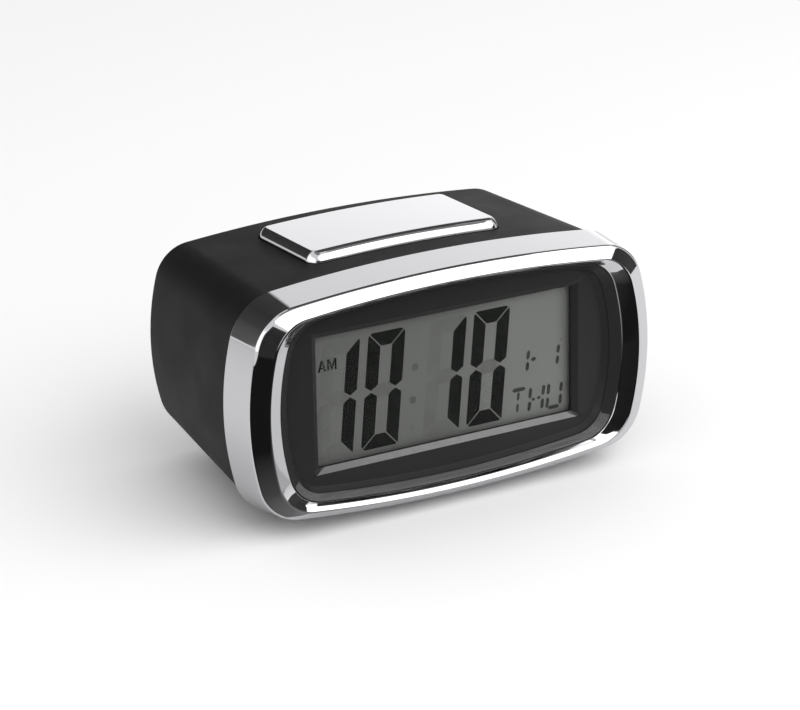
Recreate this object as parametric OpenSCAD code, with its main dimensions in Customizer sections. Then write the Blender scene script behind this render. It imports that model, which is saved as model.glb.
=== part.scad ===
// Digital alarm clock with a chrome face ring, a tapered body and a snooze bar on top.
// Every piece is drawn square to the face: x to the right, y back from the crest of the ring,
// z up from the centre of the band. It is then leaned back and stood on its feet.

/* [Face outline] */
// Width across the chrome band
face_w = 124; // [118:1:130]
// Height across the chrome band
face_h = 64.6; // [63:0.2:68]
// Radius of the long arcs along the top and the bottom
crown_r = 450; // [380:10:600]
// Radius of the arcs at the left and right
side_r = 76; // [66:1:100]
// Radius of the rounded corners
corner_r = 14.2; // [12.6:0.2:16]
// Share of a smaller outline's loss of height that its corners lose too
corner_shrink = 0.75; // [0.5:0.05:0.9]
// Backward lean of the face in degrees
lean = 3; // [2:0.25:4]

/* [Chrome ring] */
// Depth of the ring from its crest to its back edge
ring_depth = 14.2; // [13:0.2:16]
// How far the band draws in towards its front edge
band_taper = 1.3; // [0.8:0.1:1.6]
// Depth from the crest to the front edge of the band
bevel_depth = 2.4; // [2:0.1:2.8]
// Width of the outer bevel at the sides, from the back of the band to the crest
bevel_side = 5.8; // [5:0.1:6.6]
// Width of the outer bevel at the top and bottom
bevel_top = 3.95; // [3.5:0.05:4.4]
// Drop of the crest below the centre of the band
crest_drop = 0.4; // [0:0.1:0.6]
// Width of the inner bevel at the sides, from the crest to the mouth
mouth_side = 4.3; // [3.8:0.1:5]
// Width of the inner bevel at the top and bottom
mouth_top = 1.5; // [1.2:0.05:1.8]
// Depth of the mouth edge behind the crest
mouth_depth = 2.1; // [1.7:0.1:2.3]
// Thickness of the lip behind the mouth edge
lip_t = 1.5; // [1.2:0.1:1.8]
// Thickness of the wall of the band
ring_wall = 1.4; // [1.1:0.1:1.6]

/* [Front panel] */
// Depth of the flat of the panel behind the crest
panel_depth = 6; // [5.6:0.1:6.8]
// Thickness of the panel
panel_t = 2; // [1.8:0.1:3]
// Width of the dish at the sides, from the mouth of the ring to the step
dish_side = 2.8; // [2.2:0.1:3.1]
// Width of the dish at the top and bottom
dish_top = 1.85; // [1.45:0.05:2.15]
// Width of the slope at the sides, from the step to the flat of the panel
flat_side = 1.1; // [0.8:0.1:2]
// Width of the slope at the top and bottom
flat_top = 1; // [0.7:0.05:1.4]
// Depth of the step behind the crest
step_depth = 4.7; // [4.2:0.1:5]
// Fall of the step
step_fall = 0.3; // [0.2:0.05:0.4]
// Width of the flat top of the panel's rim
rim_t = 0.4; // [0.3:0.1:0.8]
// Gap between the panel and the ring round it
panel_gap = 0.3; // [0.2:0.05:0.4]
// Width of the flat of the panel beside the display
view_side = 9.1; // [8.6:0.1:11]
// Width of the flat of the panel above and below the display
view_top = 6.4; // [6:0.1:7.5]
// Width of the bevel round the display cut-out
view_bevel = 1.5; // [1:0.1:2]
// Depth of the bevel round the display cut-out
view_bevel_depth = 1.5; // [1.2:0.1:1.7]

/* [Display and main board] */
// Thickness of the clear window
window_t = 1; // [0.8:0.1:1.5]
// Gap between the window and the display glass
window_gap = 0.2; // [0.1:0.05:0.4]
// Margin of the display glass past what shows, at the sides
glass_margin_x = 3.5; // [3:0.1:3.8]
// Margin of the display glass past what shows, at the top and bottom
glass_margin_z = 2.5; // [2.3:0.1:2.8]
// Thickness of the display glass
glass_t = 2; // [1.6:0.1:2.4]
// Thickness of the light guide
guide_t = 2.5; // [2:0.1:3]
// Length of the contact strips from glass to board
strip_len = 4.3; // [4:0.1:5]
// Width of the contact strips
strip_w = 1.8; // [1.4:0.1:1.9]
// Clearance of the display stack in its frame
stack_gap = 0.3; // [0.2:0.05:0.4]
// Width of the frame's side bars
frame_side = 3.5; // [3.2:0.1:3.8]
// Width of the frame's top and bottom bars
frame_bar = 4; // [3.6:0.1:4.2]
// Thickness of the circuit boards
board_t = 1.6; // [1:0.1:2]
// Diameter of the board screws
board_screw_d = 1.8; // [1.6:0.1:2]
// Depth of the board screws in the panel
board_screw_bite = 0.8; // [0.5:0.1:1]

/* [Body] */
// How far the front of the body stands in from the back edge of the ring
body_step = 0.9; // [0.6:0.1:1.2]
// Depth of the clock from the crest to the rear face
body_depth = 67.3; // [66:0.1:72]
// Draw-in of the rear outline at each side
rear_side = 5.2; // [3:0.1:7]
// Draw-in of the rear outline at the top and at the bottom
rear_top = 4.7; // [3.6:0.1:5]
// Rise of the rear outline's centre above the face's centre
rear_rise = 3.85; // [3:0.05:4.2]
// Radius of the long arcs of the rear outline
rear_crown_r = 500; // [430:10:600]
// Side arc radius of the rear outline
rear_side_r = 66; // [60:1:74]
// Corner radius of the rear outline
rear_corner_r = 11.1; // [9.8:0.1:12]
// Rounding of the rear edge
rear_round = 3; // [2:0.1:3.4]
// Thickness of the body's walls
wall = 2; // [1.6:0.1:2.3]
// Thickness of the rear wall
rear_wall = 2.2; // [1.8:0.1:2.6]
// Thickness of the spigot that enters the ring
spigot_t = 1.5; // [1.2:0.1:2]

/* [Snooze bar] */
// Distance of the bar from each side of the band
snooze_side = 32.8; // [32:0.1:37]
// Distance of the bar's front edge behind the crest
snooze_front = 24.8; // [23:0.1:26]
// Distance of the bar's rear edge ahead of the rear face
snooze_rear = 11.1; // [9.8:0.1:13]
// Height of the bar above the body
snooze_lift = 2.8; // [2.2:0.1:3.6]
// Corner radius of the bar
snooze_corner_r = 3.8; // [3:0.1:4.2]
// Height of the flared foot of the bar
flare_h = 1.5; // [1:0.1:1.7]
// Width of the flared foot of the bar
flare_w = 1.7; // [1.2:0.1:1.8]
// Share of that width that the foot has at the sides
flare_share = 0.65; // [0.5:0.05:1]
// Travel of the bar
snooze_travel = 1.2; // [0.8:0.1:1.6]
// Gap between the bar and its hole
snooze_gap = 0.35; // [0.3:0.05:0.5]
// Depth of the skirt below the top of the body
skirt_depth = 6; // [5.5:0.1:7]
// Wall of the hollow bar
skirt_wall = 1.5; // [1.2:0.1:1.8]
// Thickness of the carrier under the bar
carrier_t = 2; // [1.6:0.1:2.6]
// Distance of the carrier from the bar's front and rear edges
carrier_inset = 4.5; // [3:0.1:6]
// Reach of the carrier's catches past the bar
catch_reach = 4; // [3:0.1:4.6]
// Space between the carrier and the small board
snooze_space = 8; // [7:0.1:9]
// Height of the switch under the bar
snooze_switch_h = 5; // [4:0.1:5.5]
// Outer diameter of the return springs
spring_d = 5.2; // [4:0.1:6]
// Distance of each return spring from the middle
spring_x = 18; // [12:0.5:22]

/* [Rear controls] */
// Diameter of the push buttons
key_d = 7; // [5:0.2:7.4]
// Distance from one button to the next
key_pitch = 14; // [13:0.2:14.6]
// Middle of the row of buttons, across
key_row_x = -12; // [-13:0.2:-11]
// Share of the spare height of the rear wall above the buttons
spare_above = 0.5; // [0.35:0.01:0.6]
// How far the buttons stand out
key_out = 1.2; // [1:0.1:2]
// Chamfer round a button
key_edge = 0.5; // [0.2:0.1:0.8]
// Travel of the buttons
key_travel = 0.8; // [0.4:0.1:1]
// Gap round the buttons and the slider
key_gap = 0.25; // [0.2:0.05:0.4]
// Thickness of the buttons' flanges
flange_t = 1; // [0.8:0.1:1.2]
// Width of the flanges past the holes
flange_w = 1; // [0.6:0.1:1.2]
// Gap between the flanges and the rear wall
seat_gap = 0.3; // [0.2:0.05:0.4]
// Height of the switches behind the buttons
key_switch_h = 3.5; // [3:0.1:4]
// Middle of the alarm slider's slot, across
slider_x = 30; // [29:0.2:32]
// Width of the alarm slider's knob
slider_w = 5; // [4:0.1:5.4]
// Height of the alarm slider's knob
slider_h = 4; // [3:0.1:5]
// Travel of the alarm slider
slider_travel = 4; // [3:0.1:4.4]

/* [Battery bay] */
// Diameter of a cell
cell_d = 10.5; // [9.8:0.1:10.6]
// Length of a cell
cell_len = 44.5; // [42:0.1:45]
// Room for the contacts at each end of the cells
contact_room = 3; // [2.4:0.1:3.4]
// Clearance round the cells
cell_gap = 0.3; // [0.2:0.05:0.4]
// Wall of the battery box
box_wall = 1.4; // [1.2:0.1:1.6]
// Lap of the battery door past the box at each side
door_lap_x = 1.05; // [0.5:0.05:1.3]
// Lap of the battery door past the box at the top and bottom
door_lap_z = 0.2; // [0:0.05:0.5]
// Share of the spare height of the rear wall below the battery box
spare_below = 0.11; // [0.05:0.01:0.25]
// Gap round the battery door
door_gap = 0.3; // [0.2:0.05:0.4]
// Width of the box's flange past the door opening
box_flange = 1.9; // [1.4:0.1:2.1]

/* [Sounder] */
// Diameter of the sounder disc
buzzer_d = 14; // [12:0.1:14.4]
// Gap between the sounder's collar and the battery box
collar_gap = 0.3; // [0.2:0.05:0.6]
// Diameter of the sound holes
sound_hole_d = 1.5; // [1:0.1:1.8]
// Radius of the ring of sound holes
sound_ring_r = 3; // [2.4:0.1:3.6]

/* [Case screws and feet] */
// Distance of the case screws from the sides of the rear outline
screw_in = 7.3; // [6.8:0.1:7.6]
// Height of the upper case screws
screw_top_z = 14; // [10:0.5:15]
// Height of the lower case screws
screw_low_z = -8; // [-9:0.5:-4]
// Diameter of the case screws
screw_d = 2.3; // [2:0.1:2.6]
// Diameter of the case screws' heads
screw_head_d = 5; // [4.4:0.1:5.2]
// Depth of the joint between posts and tubes behind the crest
post_end = 26; // [22:0.5:30]
// Diameter of a foot
foot_d = 10; // [8:0.2:11]
// Distance of the front feet in from each side of the band
front_foot_side = 20; // [19:0.5:26]
// Distance of the rear feet in from each side of the rear outline
rear_foot_side = 20.8; // [19:0.2:26]
// Distance of the front feet behind the front of the clock
front_foot_in = 21.5; // [20.5:0.5:26]
// Distance of the rear feet ahead of the rear of the clock
rear_foot_in = 13.5; // [12:0.5:18]
// Height of the band above the table
ground_gap = 0.8; // [0.6:0.1:1.6]
// How deep the feet sit in the body
foot_seat = 1.2; // [1:0.1:1.5]

/* [Hidden] */
$fn = 48;
bury = 1;

// Outlines are lists: half width, half height, crown, side and corner radii, depth, centre height.
function inset(o, t) = [o[0] - t, o[1] - t, o[2] - t, o[3] - t, o[4] - t, o[5], o[6]];
function moved(o, y) = [o[0], o[1], o[2], o[3], o[4], y, o[6]];
function between(o, p, t) = o + (p - o) * t;
function smaller(w, h, y, z) =
    let (s = w / face_w)
    [w / 2, h / 2, crown_r * s, side_r * s, corner_r - (face_h - h) / 2 * corner_shrink, y, z];

band_back = [face_w / 2, face_h / 2, crown_r, side_r, corner_r, ring_depth, 0];
band_front = moved(inset(band_back, band_taper), bevel_depth);
crest_w = face_w - 2 * bevel_side;
crest_h = face_h - 2 * bevel_top;
mouth_w = crest_w - 2 * mouth_side;
mouth_h = crest_h - 2 * mouth_top;
step_w = mouth_w - 2 * dish_side;
step_h = mouth_h - 2 * dish_top;
panel_w = step_w - 2 * flat_side;
panel_h = step_h - 2 * flat_top;
crest = smaller(crest_w, crest_h, 0, -crest_drop);
mouth = smaller(mouth_w, mouth_h, mouth_depth, -crest_drop / 2);
lip_back = mouth_depth + lip_t;
bore = inset(band_front, ring_wall);
panel_edge = inset(bore, panel_gap);
rim = inset(mouth, panel_gap);
dish_step = smaller(step_w, step_h, step_depth, -crest_drop / 2);
panel_flat = smaller(panel_w, panel_h, panel_depth, -crest_drop / 2);
panel_back = panel_depth + panel_t;

view_w = panel_w - 2 * view_side;
view_h = panel_h - 2 * view_top;
window_back = panel_back + window_t;
glass_front = window_back + window_gap;
glass_back = glass_front + glass_t;
glass_w = view_w + 2 * glass_margin_x;
glass_h = view_h + 2 * glass_margin_z;
led_t = 1.4;
led_w = 4;
guide_w = glass_w - 2 * (led_t + stack_gap);
guide_h = view_h - stack_gap;
board_front = glass_back + strip_len;
board_back = board_front + board_t;
frame_in_w = glass_w + 2 * stack_gap;
frame_in_h = glass_h + 2 * stack_gap;
frame_w = frame_in_w + 2 * frame_side;
frame_h = frame_in_h + 2 * frame_bar;
board_screw_x = (frame_in_w + frame_side) / 2;
board_screw_z = (frame_in_h + frame_bar) / 2;
board_screw_head_h = 1.2;
blob_r = 5.4;
blob_h = 1.6;
crystal_d = 3;
crystal_len = 8;
crystal_x = 14;
crystal_z = -12;

inner_y = body_depth - rear_wall;
rear_w = face_w - 2 * rear_side;
rear_h = face_h - 2 * rear_top;
rear = [
    rear_w / 2, rear_h / 2, rear_crown_r, rear_side_r, rear_corner_r,
    body_depth - rear_round, rear_rise
];
body_front = inset(band_back, body_step);
function body_at(y) = moved(between(body_front, rear, (y - ring_depth) / (rear[5] - ring_depth)), y);
function roof(x, y) = let (o = body_at(y)) o[6] + o[1] - o[2] + sqrt(o[2] * o[2] - x * x);
function underside(x, y) = let (o = body_at(y)) o[6] - o[1] + o[2] - sqrt(o[2] * o[2] - x * x);

snooze_w = face_w - 2 * snooze_side;
snooze_len = body_depth - snooze_front - snooze_rear;
snooze_y = snooze_front + snooze_len / 2;
skirt_z = roof(0, snooze_y) - skirt_depth;
carrier_z = skirt_z - carrier_t;
snooze_board_z = carrier_z - snooze_space;
catch_x = snooze_w / 2 + catch_reach;
catch_top = roof(catch_x, snooze_y) - wall - seat_gap;
catch_len = 6;
snooze_post_d = 5;
snooze_post_x = catch_x + snooze_post_d / 2 + 1;
snooze_board_len = 16;
small_screw_d = 1.9;
small_head_d = 4;
small_head_h = 1.4;
small_screw_len = 7;
pin_d = 3;
pin_gap = 0.2;
pin_bite = 0.8;

key_xs = [for (i = [-1.5:1:1.5]) key_row_x + i * key_pitch];
key_flange_r = key_d / 2 + key_gap + flange_w;
flange_back = inner_y - seat_gap;
flange_front = flange_back - flange_t;
key_switch_top = flange_front - key_travel - seat_gap;
key_board_back = key_switch_top - key_switch_h;
key_board_front = key_board_back - board_t;
key_switch_w = 6;
key_post_d = 4;
key_post_xs = [key_row_x - key_pitch, key_xs[3] + key_flange_r + key_post_d / 2 + 1];
key_board_h = 14;
key_board_left = key_xs[0] - key_switch_w;
key_board_right = slider_x + slider_w + slider_travel + 2;
slider_flange_w = slider_w + 2 * slider_travel + 2 * key_gap + 2 * flange_w;
slider_pin = 2;
alarm_wall = 2.5;
alarm_floor = 1;

cell_y = inner_y - seat_gap - cell_gap - cell_d / 2;
cell_z = cell_d / 2 + cell_gap;
box_floor = cell_y - cell_d / 2 - cell_gap;
box_in_w = cell_len + 2 * contact_room;
box_in_h = 2 * cell_d + 4 * cell_gap;
door_w = box_in_w + 2 * box_wall + 2 * door_lap_x;
door_h = box_in_h + 2 * box_wall + 2 * door_lap_z;
door_open_w = door_w + 2 * door_gap;
door_open_h = door_h + 2 * door_gap;
contact_t = 0.4;
contact_w = 8;
cell_nub = 1;

box_flange_w = door_open_w + 2 * box_flange;
box_flange_h = door_open_h + 2 * box_flange;
rear_low = underside(box_flange_w / 2, inner_y) + wall;
rear_high = roof(abs(key_xs[0]) + key_flange_r, inner_y) - wall;
spare = rear_high - rear_low - box_flange_h - 2 * key_flange_r;
door_z = rear_low + spare * spare_below + box_flange_h / 2;
key_row_z = rear_high - spare * spare_above - key_flange_r;

collar_wall = 1.3;
buzzer_ledge = 1.5;
buzzer_t = 0.5;
buzzer_hold = 2;
buzzer_rim = 2.5;
buzzer_gap = 0.15;
collar_d = buzzer_d + 2 * (buzzer_gap + collar_wall);
buzzer_x = -(box_flange_w + collar_d) / 2 - collar_gap;
buzzer_z = (screw_top_z + screw_low_z) / 2;

tube_d = 8;
post_d = 6;
screw_x = rear_w / 2 - screw_in;
seat_t = 4;
screw_bite = 8;
screw_seat = post_end + seat_t;
screw_tip = post_end - screw_bite;
screw_head_h = 2;
pilot_gap = 0.1;
cable_w = 10;
cable_t = 0.8;
cable_x = 8;
cable_sag = 1.5;
lead_d = 1.4;
lead_gap = 2.4;
lead_bend = 4;
lead_sag = 3;

lift = ground_gap + ring_depth * sin(lean) + face_h / 2 * cos(lean);
front_reach = -(crest_h / 2 + crest_drop) * sin(lean);
edge_reach = (body_depth - rear_round) * cos(lean)
    + (rear_rise + rear_h / 2 - rear_round) * sin(lean) + rear_round;
key_reach = (body_depth + key_out) * cos(lean) + (key_row_z + key_d / 2 - key_edge) * sin(lean);
rear_reach = max(edge_reach, key_reach);
shift_y = -(front_reach + rear_reach) / 2;
front_foot_x = face_w / 2 - front_foot_side;
rear_foot_x = rear_w / 2 - rear_foot_side;
front_foot_y = front_reach + shift_y + front_foot_in;
rear_foot_y = rear_reach + shift_y - rear_foot_in;

// Height of the underside above the table at a place on the table
function clear_under(x, y) =
    let (y0 = (y - shift_y - underside(x, ring_depth) * sin(lean)) / cos(lean))
    let (y1 = (y - shift_y - underside(x, y0) * sin(lean)) / cos(lean))
    lift - y1 * sin(lean) + underside(x, y1) * cos(lean);

front_foot_top = clear_under(front_foot_x, front_foot_y) + foot_seat;
rear_foot_top = clear_under(rear_foot_x, rear_foot_y) + foot_seat;

// From the frame square to the face to the clock as it stands, and back
module place() {
    translate([0, shift_y, lift]) rotate([-lean, 0, 0]) children();
}

module unplace() {
    rotate([lean, 0, 0]) translate([0, -shift_y, -lift]) children();
}

// Points of an outline, from the right-hand end through the top
function quarter(o, side_n = 6, corner_n = 8, top_n = 6) =
    let (p = [0, o[1] - o[2]], q = [o[0] - o[3], 0])
    let (base = q - p, span = norm(base), u = base / span)
    let (d1 = o[2] - o[4], d2 = o[3] - o[4])
    let (along = (d1 * d1 - d2 * d2 + span * span) / (2 * span))
    let (c = p + along * u + sqrt(d1 * d1 - along * along) * [u[1], -u[0]])
    let (t1 = atan2(c[1] - p[1], c[0] - p[0]), t2 = atan2(c[1] - q[1], c[0] - q[0]))
    concat(
        [for (i = [0:side_n - 1]) let (t = t2 * i / side_n) q + o[3] * [cos(t), sin(t)]],
        [for (i = [0:corner_n - 1]) let (t = t2 + (t1 - t2) * i / corner_n) c + o[4] * [cos(t), sin(t)]],
        [for (i = [0:top_n]) let (t = t1 + (90 - t1) * i / top_n) p + o[2] * [cos(t), sin(t)]]
    );

function outline(o) =
    let (k = quarter(o), n = len(k))
    let (flat = concat(
        k,
        [for (i = [n - 2:-1:0]) [-k[i][0], k[i][1]]],
        [for (i = [1:n - 1]) [-k[i][0], -k[i][1]]],
        [for (i = [n - 2:-1:1]) [k[i][0], -k[i][1]]]
    ))
    [for (v = flat) [v[0], o[5], v[1] + o[6]]];

// Skin over a list of rings with equal counts of points: capped, or closed back on itself
module skin(rings, closed = false, strips = false) {
    n = len(rings[0]);
    m = len(rings);
    last = (m - 1) * n;
    sides = [
        for (k = [0:closed ? m - 1 : m - 2], i = [0:n - 1])
        let (a = k * n, b = ((k + 1) % m) * n, j = (i + 1) % n)
        each [[a + i, a + j, b + j], [a + i, b + j, b + i]]
    ];
    near_cap = [[for (i = [n - 1:-1:0]) i]];
    far_cap = strips
        ? [for (i = [0:n / 2 - 2]) each [
            [last + i, last + i + 1, last + n - 2 - i],
            [last + i, last + n - 2 - i, last + n - 1 - i]
        ]]
        : [[for (i = [0:n - 1]) last + i]];
    polyhedron([for (r = rings) each r], closed ? sides : concat(sides, near_cap, far_cap), convexity = 8);
}

module loft(sections, closed = false) {
    skin([for (o = sections) outline(o)], closed);
}

// Box from its middle and its size
module block(mid, size) {
    translate(mid - size / 2) cube(size);
}

// Round bar along y or along z, from its first end to its second
module bar_y(x, z, d, from, to) {
    translate([x, from, z]) rotate([-90, 0, 0]) cylinder(d = d, h = to - from);
}

module bar_z(x, y, d, from, to) {
    translate([x, y, from]) cylinder(d = d, h = to - from);
}

module both_sides() {
    children();
    mirror([1, 0, 0]) children();
}

// Wire along points in a plane across the clock
function unit(v) = v / norm(v);
function heading(p, i) =
    i == 0 ? unit(p[1] - p[0])
    : i == len(p) - 1 ? unit(p[i] - p[i - 1])
    : unit(unit(p[i + 1] - p[i]) + unit(p[i] - p[i - 1]));

module wire(p, d, sides = 8) {
    skin([
        for (i = [0:len(p) - 1])
        let (t = heading(p, i), u = unit(cross(t, [1, 0, 0])), v = cross(u, t))
        [for (k = [0:sides - 1]) let (a = k * 360 / sides) p[i] + d / 2 * (cos(a) * u + sin(a) * v)]
    ]);
}

module bezel_ring() {
    color("silver") place() loft([
        crest,
        band_front,
        band_back,
        moved(bore, ring_depth),
        moved(bore, lip_back),
        moved(mouth, lip_back),
        mouth
    ], closed = true);
}

// Wedge-sided cut for the display, open towards the front
module view_cut() {
    function corners(grow, y) = [
        for (s = [[1, 1], [-1, 1], [-1, -1], [1, -1]])
        [s[0] * (view_w / 2 + grow), y, s[1] * (view_h / 2 + grow)]
    ];
    over = 0.5;
    skin([
        corners(view_bevel * (1 + over / view_bevel_depth), panel_depth - over),
        corners(0, panel_depth + view_bevel_depth),
        corners(0, panel_back + over)
    ]);
}

module screw_places() {
    for (z = [screw_top_z, screw_low_z]) {
        both_sides() translate([screw_x, 0, z]) children();
    }
}

module board_screw_places() {
    for (z = [-board_screw_z, board_screw_z]) {
        both_sides() translate([board_screw_x, 0, z]) children();
    }
}

module front_panel() {
    color([0.13, 0.13, 0.13]) place() difference() {
        union() {
            loft([
                panel_flat,
                moved(dish_step, step_depth + step_fall),
                dish_step,
                moved(inset(rim, rim_t), mouth_depth + panel_gap),
                moved(rim, mouth_depth + panel_gap),
                moved(rim, lip_back),
                moved(panel_edge, lip_back),
                moved(panel_edge, panel_back)
            ]);
            screw_places() bar_y(0, 0, post_d, panel_back - bury, post_end);
        }
        view_cut();
        screw_places() bar_y(0, 0, screw_d + pilot_gap, screw_tip - 1, post_end + 1);
        board_screw_places()
            bar_y(0, 0, board_screw_d + pilot_gap, panel_back - board_screw_bite - 0.2, panel_back + 1);
    }
}

module display_window() {
    color([0.8, 0.85, 0.85, 0.4]) place()
        block([0, (panel_back + window_back) / 2, 0], [glass_w, window_t, glass_h]);
}

module lcd_glass() {
    color([0.45, 0.46, 0.43]) place()
        block([0, (glass_front + glass_back) / 2, 0], [glass_w, glass_t, glass_h]);
}

module light_guide() {
    color("white") place()
        block([0, glass_back + guide_t / 2, 0], [guide_w, guide_t, guide_h]);
}

module backlight_leds() {
    led_h = strip_len - 0.3;
    color("lightyellow") place() both_sides()
        block([(guide_w + led_t) / 2 + 0.1, board_front - led_h / 2, 0], [led_t, led_h, led_w]);
}

module zebra_strips() {
    strip_z = (glass_h - strip_w) / 2 - 0.2;
    color("pink") place() for (side = [-1, 1]) {
        block([0, glass_back + strip_len / 2, side * strip_z], [view_w, strip_len, strip_w]);
    }
}

module lcd_frame() {
    depth = board_front - panel_back;
    mid = [0, panel_back + depth / 2, 0];
    color("ivory") place() difference() {
        block(mid, [frame_w, depth, frame_h]);
        block(mid, [frame_in_w, depth + 1, frame_in_h]);
        board_screw_places() bar_y(0, 0, board_screw_d + pilot_gap, panel_back - 1, board_front + 1);
    }
}

module main_board() {
    color("darkgreen") place() difference() {
        block([0, board_front + board_t / 2, 0], [frame_w, board_t, frame_h]);
        board_screw_places() bar_y(0, 0, board_screw_d + pilot_gap, board_front - 1, board_back + 1);
    }
}

module chip_blob() {
    color([0.08, 0.08, 0.08]) place() translate([0, board_back, 0]) rotate([-90, 0, 0])
        rotate_extrude() polygon([
            [0, 0],
            [blob_r, 0],
            [blob_r * 0.85, blob_h * 0.5],
            [blob_r * 0.5, blob_h * 0.88],
            [0, blob_h]
        ]);
}

module crystal() {
    color("silver") place() translate([crystal_x, board_back + crystal_d / 2 + pilot_gap, crystal_z])
        rotate([0, 90, 0]) cylinder(d = crystal_d, h = crystal_len);
}

module board_screws() {
    color("gray") place() board_screw_places() {
        bar_y(0, 0, board_screw_d, panel_back - board_screw_bite, board_back);
        bar_y(0, 0, frame_side, board_back, board_back + board_screw_head_h);
    }
}

// Flat rounded rectangle, centred
module rounded(w, h, r) {
    square([w - 2 * r, h], center = true);
    square([w, h - 2 * r], center = true);
    for (x = [r - w / 2, w / 2 - r], y = [r - h / 2, h / 2 - r]) {
        translate([x, y]) circle(r);
    }
}

module upright(x, y, from, to) {
    translate([x, y, from]) linear_extrude(to - from) children();
}

module foot_pair(x, y, d, from, to) {
    both_sides() bar_z(x, y, d, from, to);
}

module body_walls() {
    shoulder = ring_depth + spigot_t;
    spigot = moved(panel_edge, panel_back);
    round_steps = 3;
    loft(concat(
        [
            inset(body_at(inner_y), wall),
            inset(body_at(shoulder), wall),
            moved(inset(spigot, spigot_t), shoulder),
            inset(spigot, spigot_t),
            spigot,
            moved(spigot, ring_depth),
            body_front
        ],
        [
            for (i = [0:round_steps])
            let (t = 90 * i / round_steps, y = body_depth - rear_round * (1 - sin(t)))
            inset(body_at(y), rear_round * (1 - cos(t)))
        ]
    ));
}

module body_bosses() {
    pad = foot_d + 3;
    pad_low = wall / 2 - foot_seat;
    post_top = roof(snooze_post_x, snooze_y) - wall / 2;
    screw_places() bar_y(0, 0, tube_d, post_end, inner_y + bury);
    both_sides() bar_z(snooze_post_x, snooze_y, snooze_post_d, snooze_board_z, post_top);
    for (x = key_post_xs) bar_y(x, key_row_z, key_post_d, key_board_back, inner_y + bury);
    bar_y(buzzer_x, buzzer_z, collar_d, inner_y - buzzer_ledge - buzzer_t - buzzer_hold, inner_y + bury);
    unplace() foot_pair(front_foot_x, front_foot_y, pad, front_foot_top + pad_low, front_foot_top + 1);
    unplace() foot_pair(rear_foot_x, rear_foot_y, pad, rear_foot_top + pad_low, rear_foot_top + 1);
}

module body_cuts() {
    far = body_depth + 1;
    through = 2 * rear_wall + 2;
    hole_d = screw_d + 0.6;
    seat_d = screw_head_d + 0.6;
    hole = 2 * snooze_gap;
    screw_places() bar_y(0, 0, hole_d, post_end - 1, far);
    screw_places() bar_y(0, 0, seat_d, screw_seat, far);
    upright(0, snooze_y, skirt_z, roof(0, ring_depth) + 1)
        rounded(snooze_w + hole, snooze_len + hole, snooze_corner_r + snooze_gap);
    both_sides() bar_z(
        snooze_post_x, snooze_y, small_screw_d + pilot_gap,
        snooze_board_z - 1, snooze_board_z + small_screw_len
    );
    for (x = key_xs) bar_y(x, key_row_z, key_d + 2 * key_gap, inner_y - 1, far);
    for (x = key_post_xs) {
        bar_y(x, key_row_z, small_screw_d + pilot_gap, key_board_back - 1, inner_y);
    }
    block(
        [slider_x, inner_y, key_row_z],
        [slider_w + slider_travel + 2 * key_gap, through, slider_h + 2 * key_gap]
    );
    block([0, inner_y, door_z], [door_open_w, through, door_open_h]);
    bar_y(buzzer_x, buzzer_z, buzzer_d + 2 * buzzer_gap, 0, inner_y - buzzer_ledge);
    bar_y(buzzer_x, buzzer_z, buzzer_d - 2 * collar_wall, 0, inner_y);
    bar_y(buzzer_x, buzzer_z, sound_hole_d, inner_y - 1, far);
    for (a = [0:60:300]) {
        translate(sound_ring_r * [cos(a), 0, sin(a)])
            bar_y(buzzer_x, buzzer_z, sound_hole_d, inner_y - 1, far);
    }
    unplace() foot_pair(front_foot_x, front_foot_y, foot_d, -1, front_foot_top);
    unplace() foot_pair(rear_foot_x, rear_foot_y, foot_d, -1, rear_foot_top);
}

module body_shell() {
    color([0.16, 0.16, 0.16]) place() difference() {
        union() {
            body_walls();
            body_bosses();
        }
        body_cuts();
    }
}

// Ring of points round the bar, drawn in and lifted above the body, or flat at a height
function bar_ring(draw_in, lifted, flat_z = undef, corner_n = 5, edge_n = 8) =
    let (w = snooze_w / 2 - draw_in * flare_share, h = snooze_len / 2 - draw_in)
    let (r = max(snooze_corner_r - draw_in, 0.4))
    let (half = concat(
        [for (i = [0:corner_n]) let (t = 180 - 90 * i / corner_n) [r - w + r * cos(t), h - r + r * sin(t)]],
        [for (i = [1:edge_n - 1]) [(r - w) * (1 - 2 * i / edge_n), h]],
        [for (i = [0:corner_n]) let (t = 90 - 90 * i / corner_n) [w - r + r * cos(t), h - r + r * sin(t)]]
    ))
    let (n = len(half))
    let (ring = concat(half, [for (i = [n - 1:-1:0]) [half[i][0], -half[i][1]]]))
    [for (v = ring) [v[0], snooze_y + v[1],
        is_undef(flat_z) ? roof(v[0], snooze_y + v[1]) + lifted : flat_z]];

module snooze_bar() {
    foot_h = 0.3;
    edge = 0.3;
    hollow_w = snooze_w - 2 * (flare_w + skirt_wall);
    hollow_len = snooze_len - 2 * (flare_w + skirt_wall);
    hollow_top = roof(snooze_w / 2, snooze_y + snooze_len / 2) + snooze_lift - skirt_wall;
    color("silver") place() difference() {
        skin([
            bar_ring(0, 0, skirt_z),
            bar_ring(0, foot_h),
            bar_ring(flare_w, flare_h),
            bar_ring(flare_w + 0.25, snooze_lift - edge),
            bar_ring(flare_w + 0.25 + edge, snooze_lift)
        ], strips = true);
        block(
            [0, snooze_y, (skirt_z + hollow_top) / 2 - 1],
            [hollow_w, hollow_len, hollow_top - skirt_z + 2]
        );
    }
}

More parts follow.
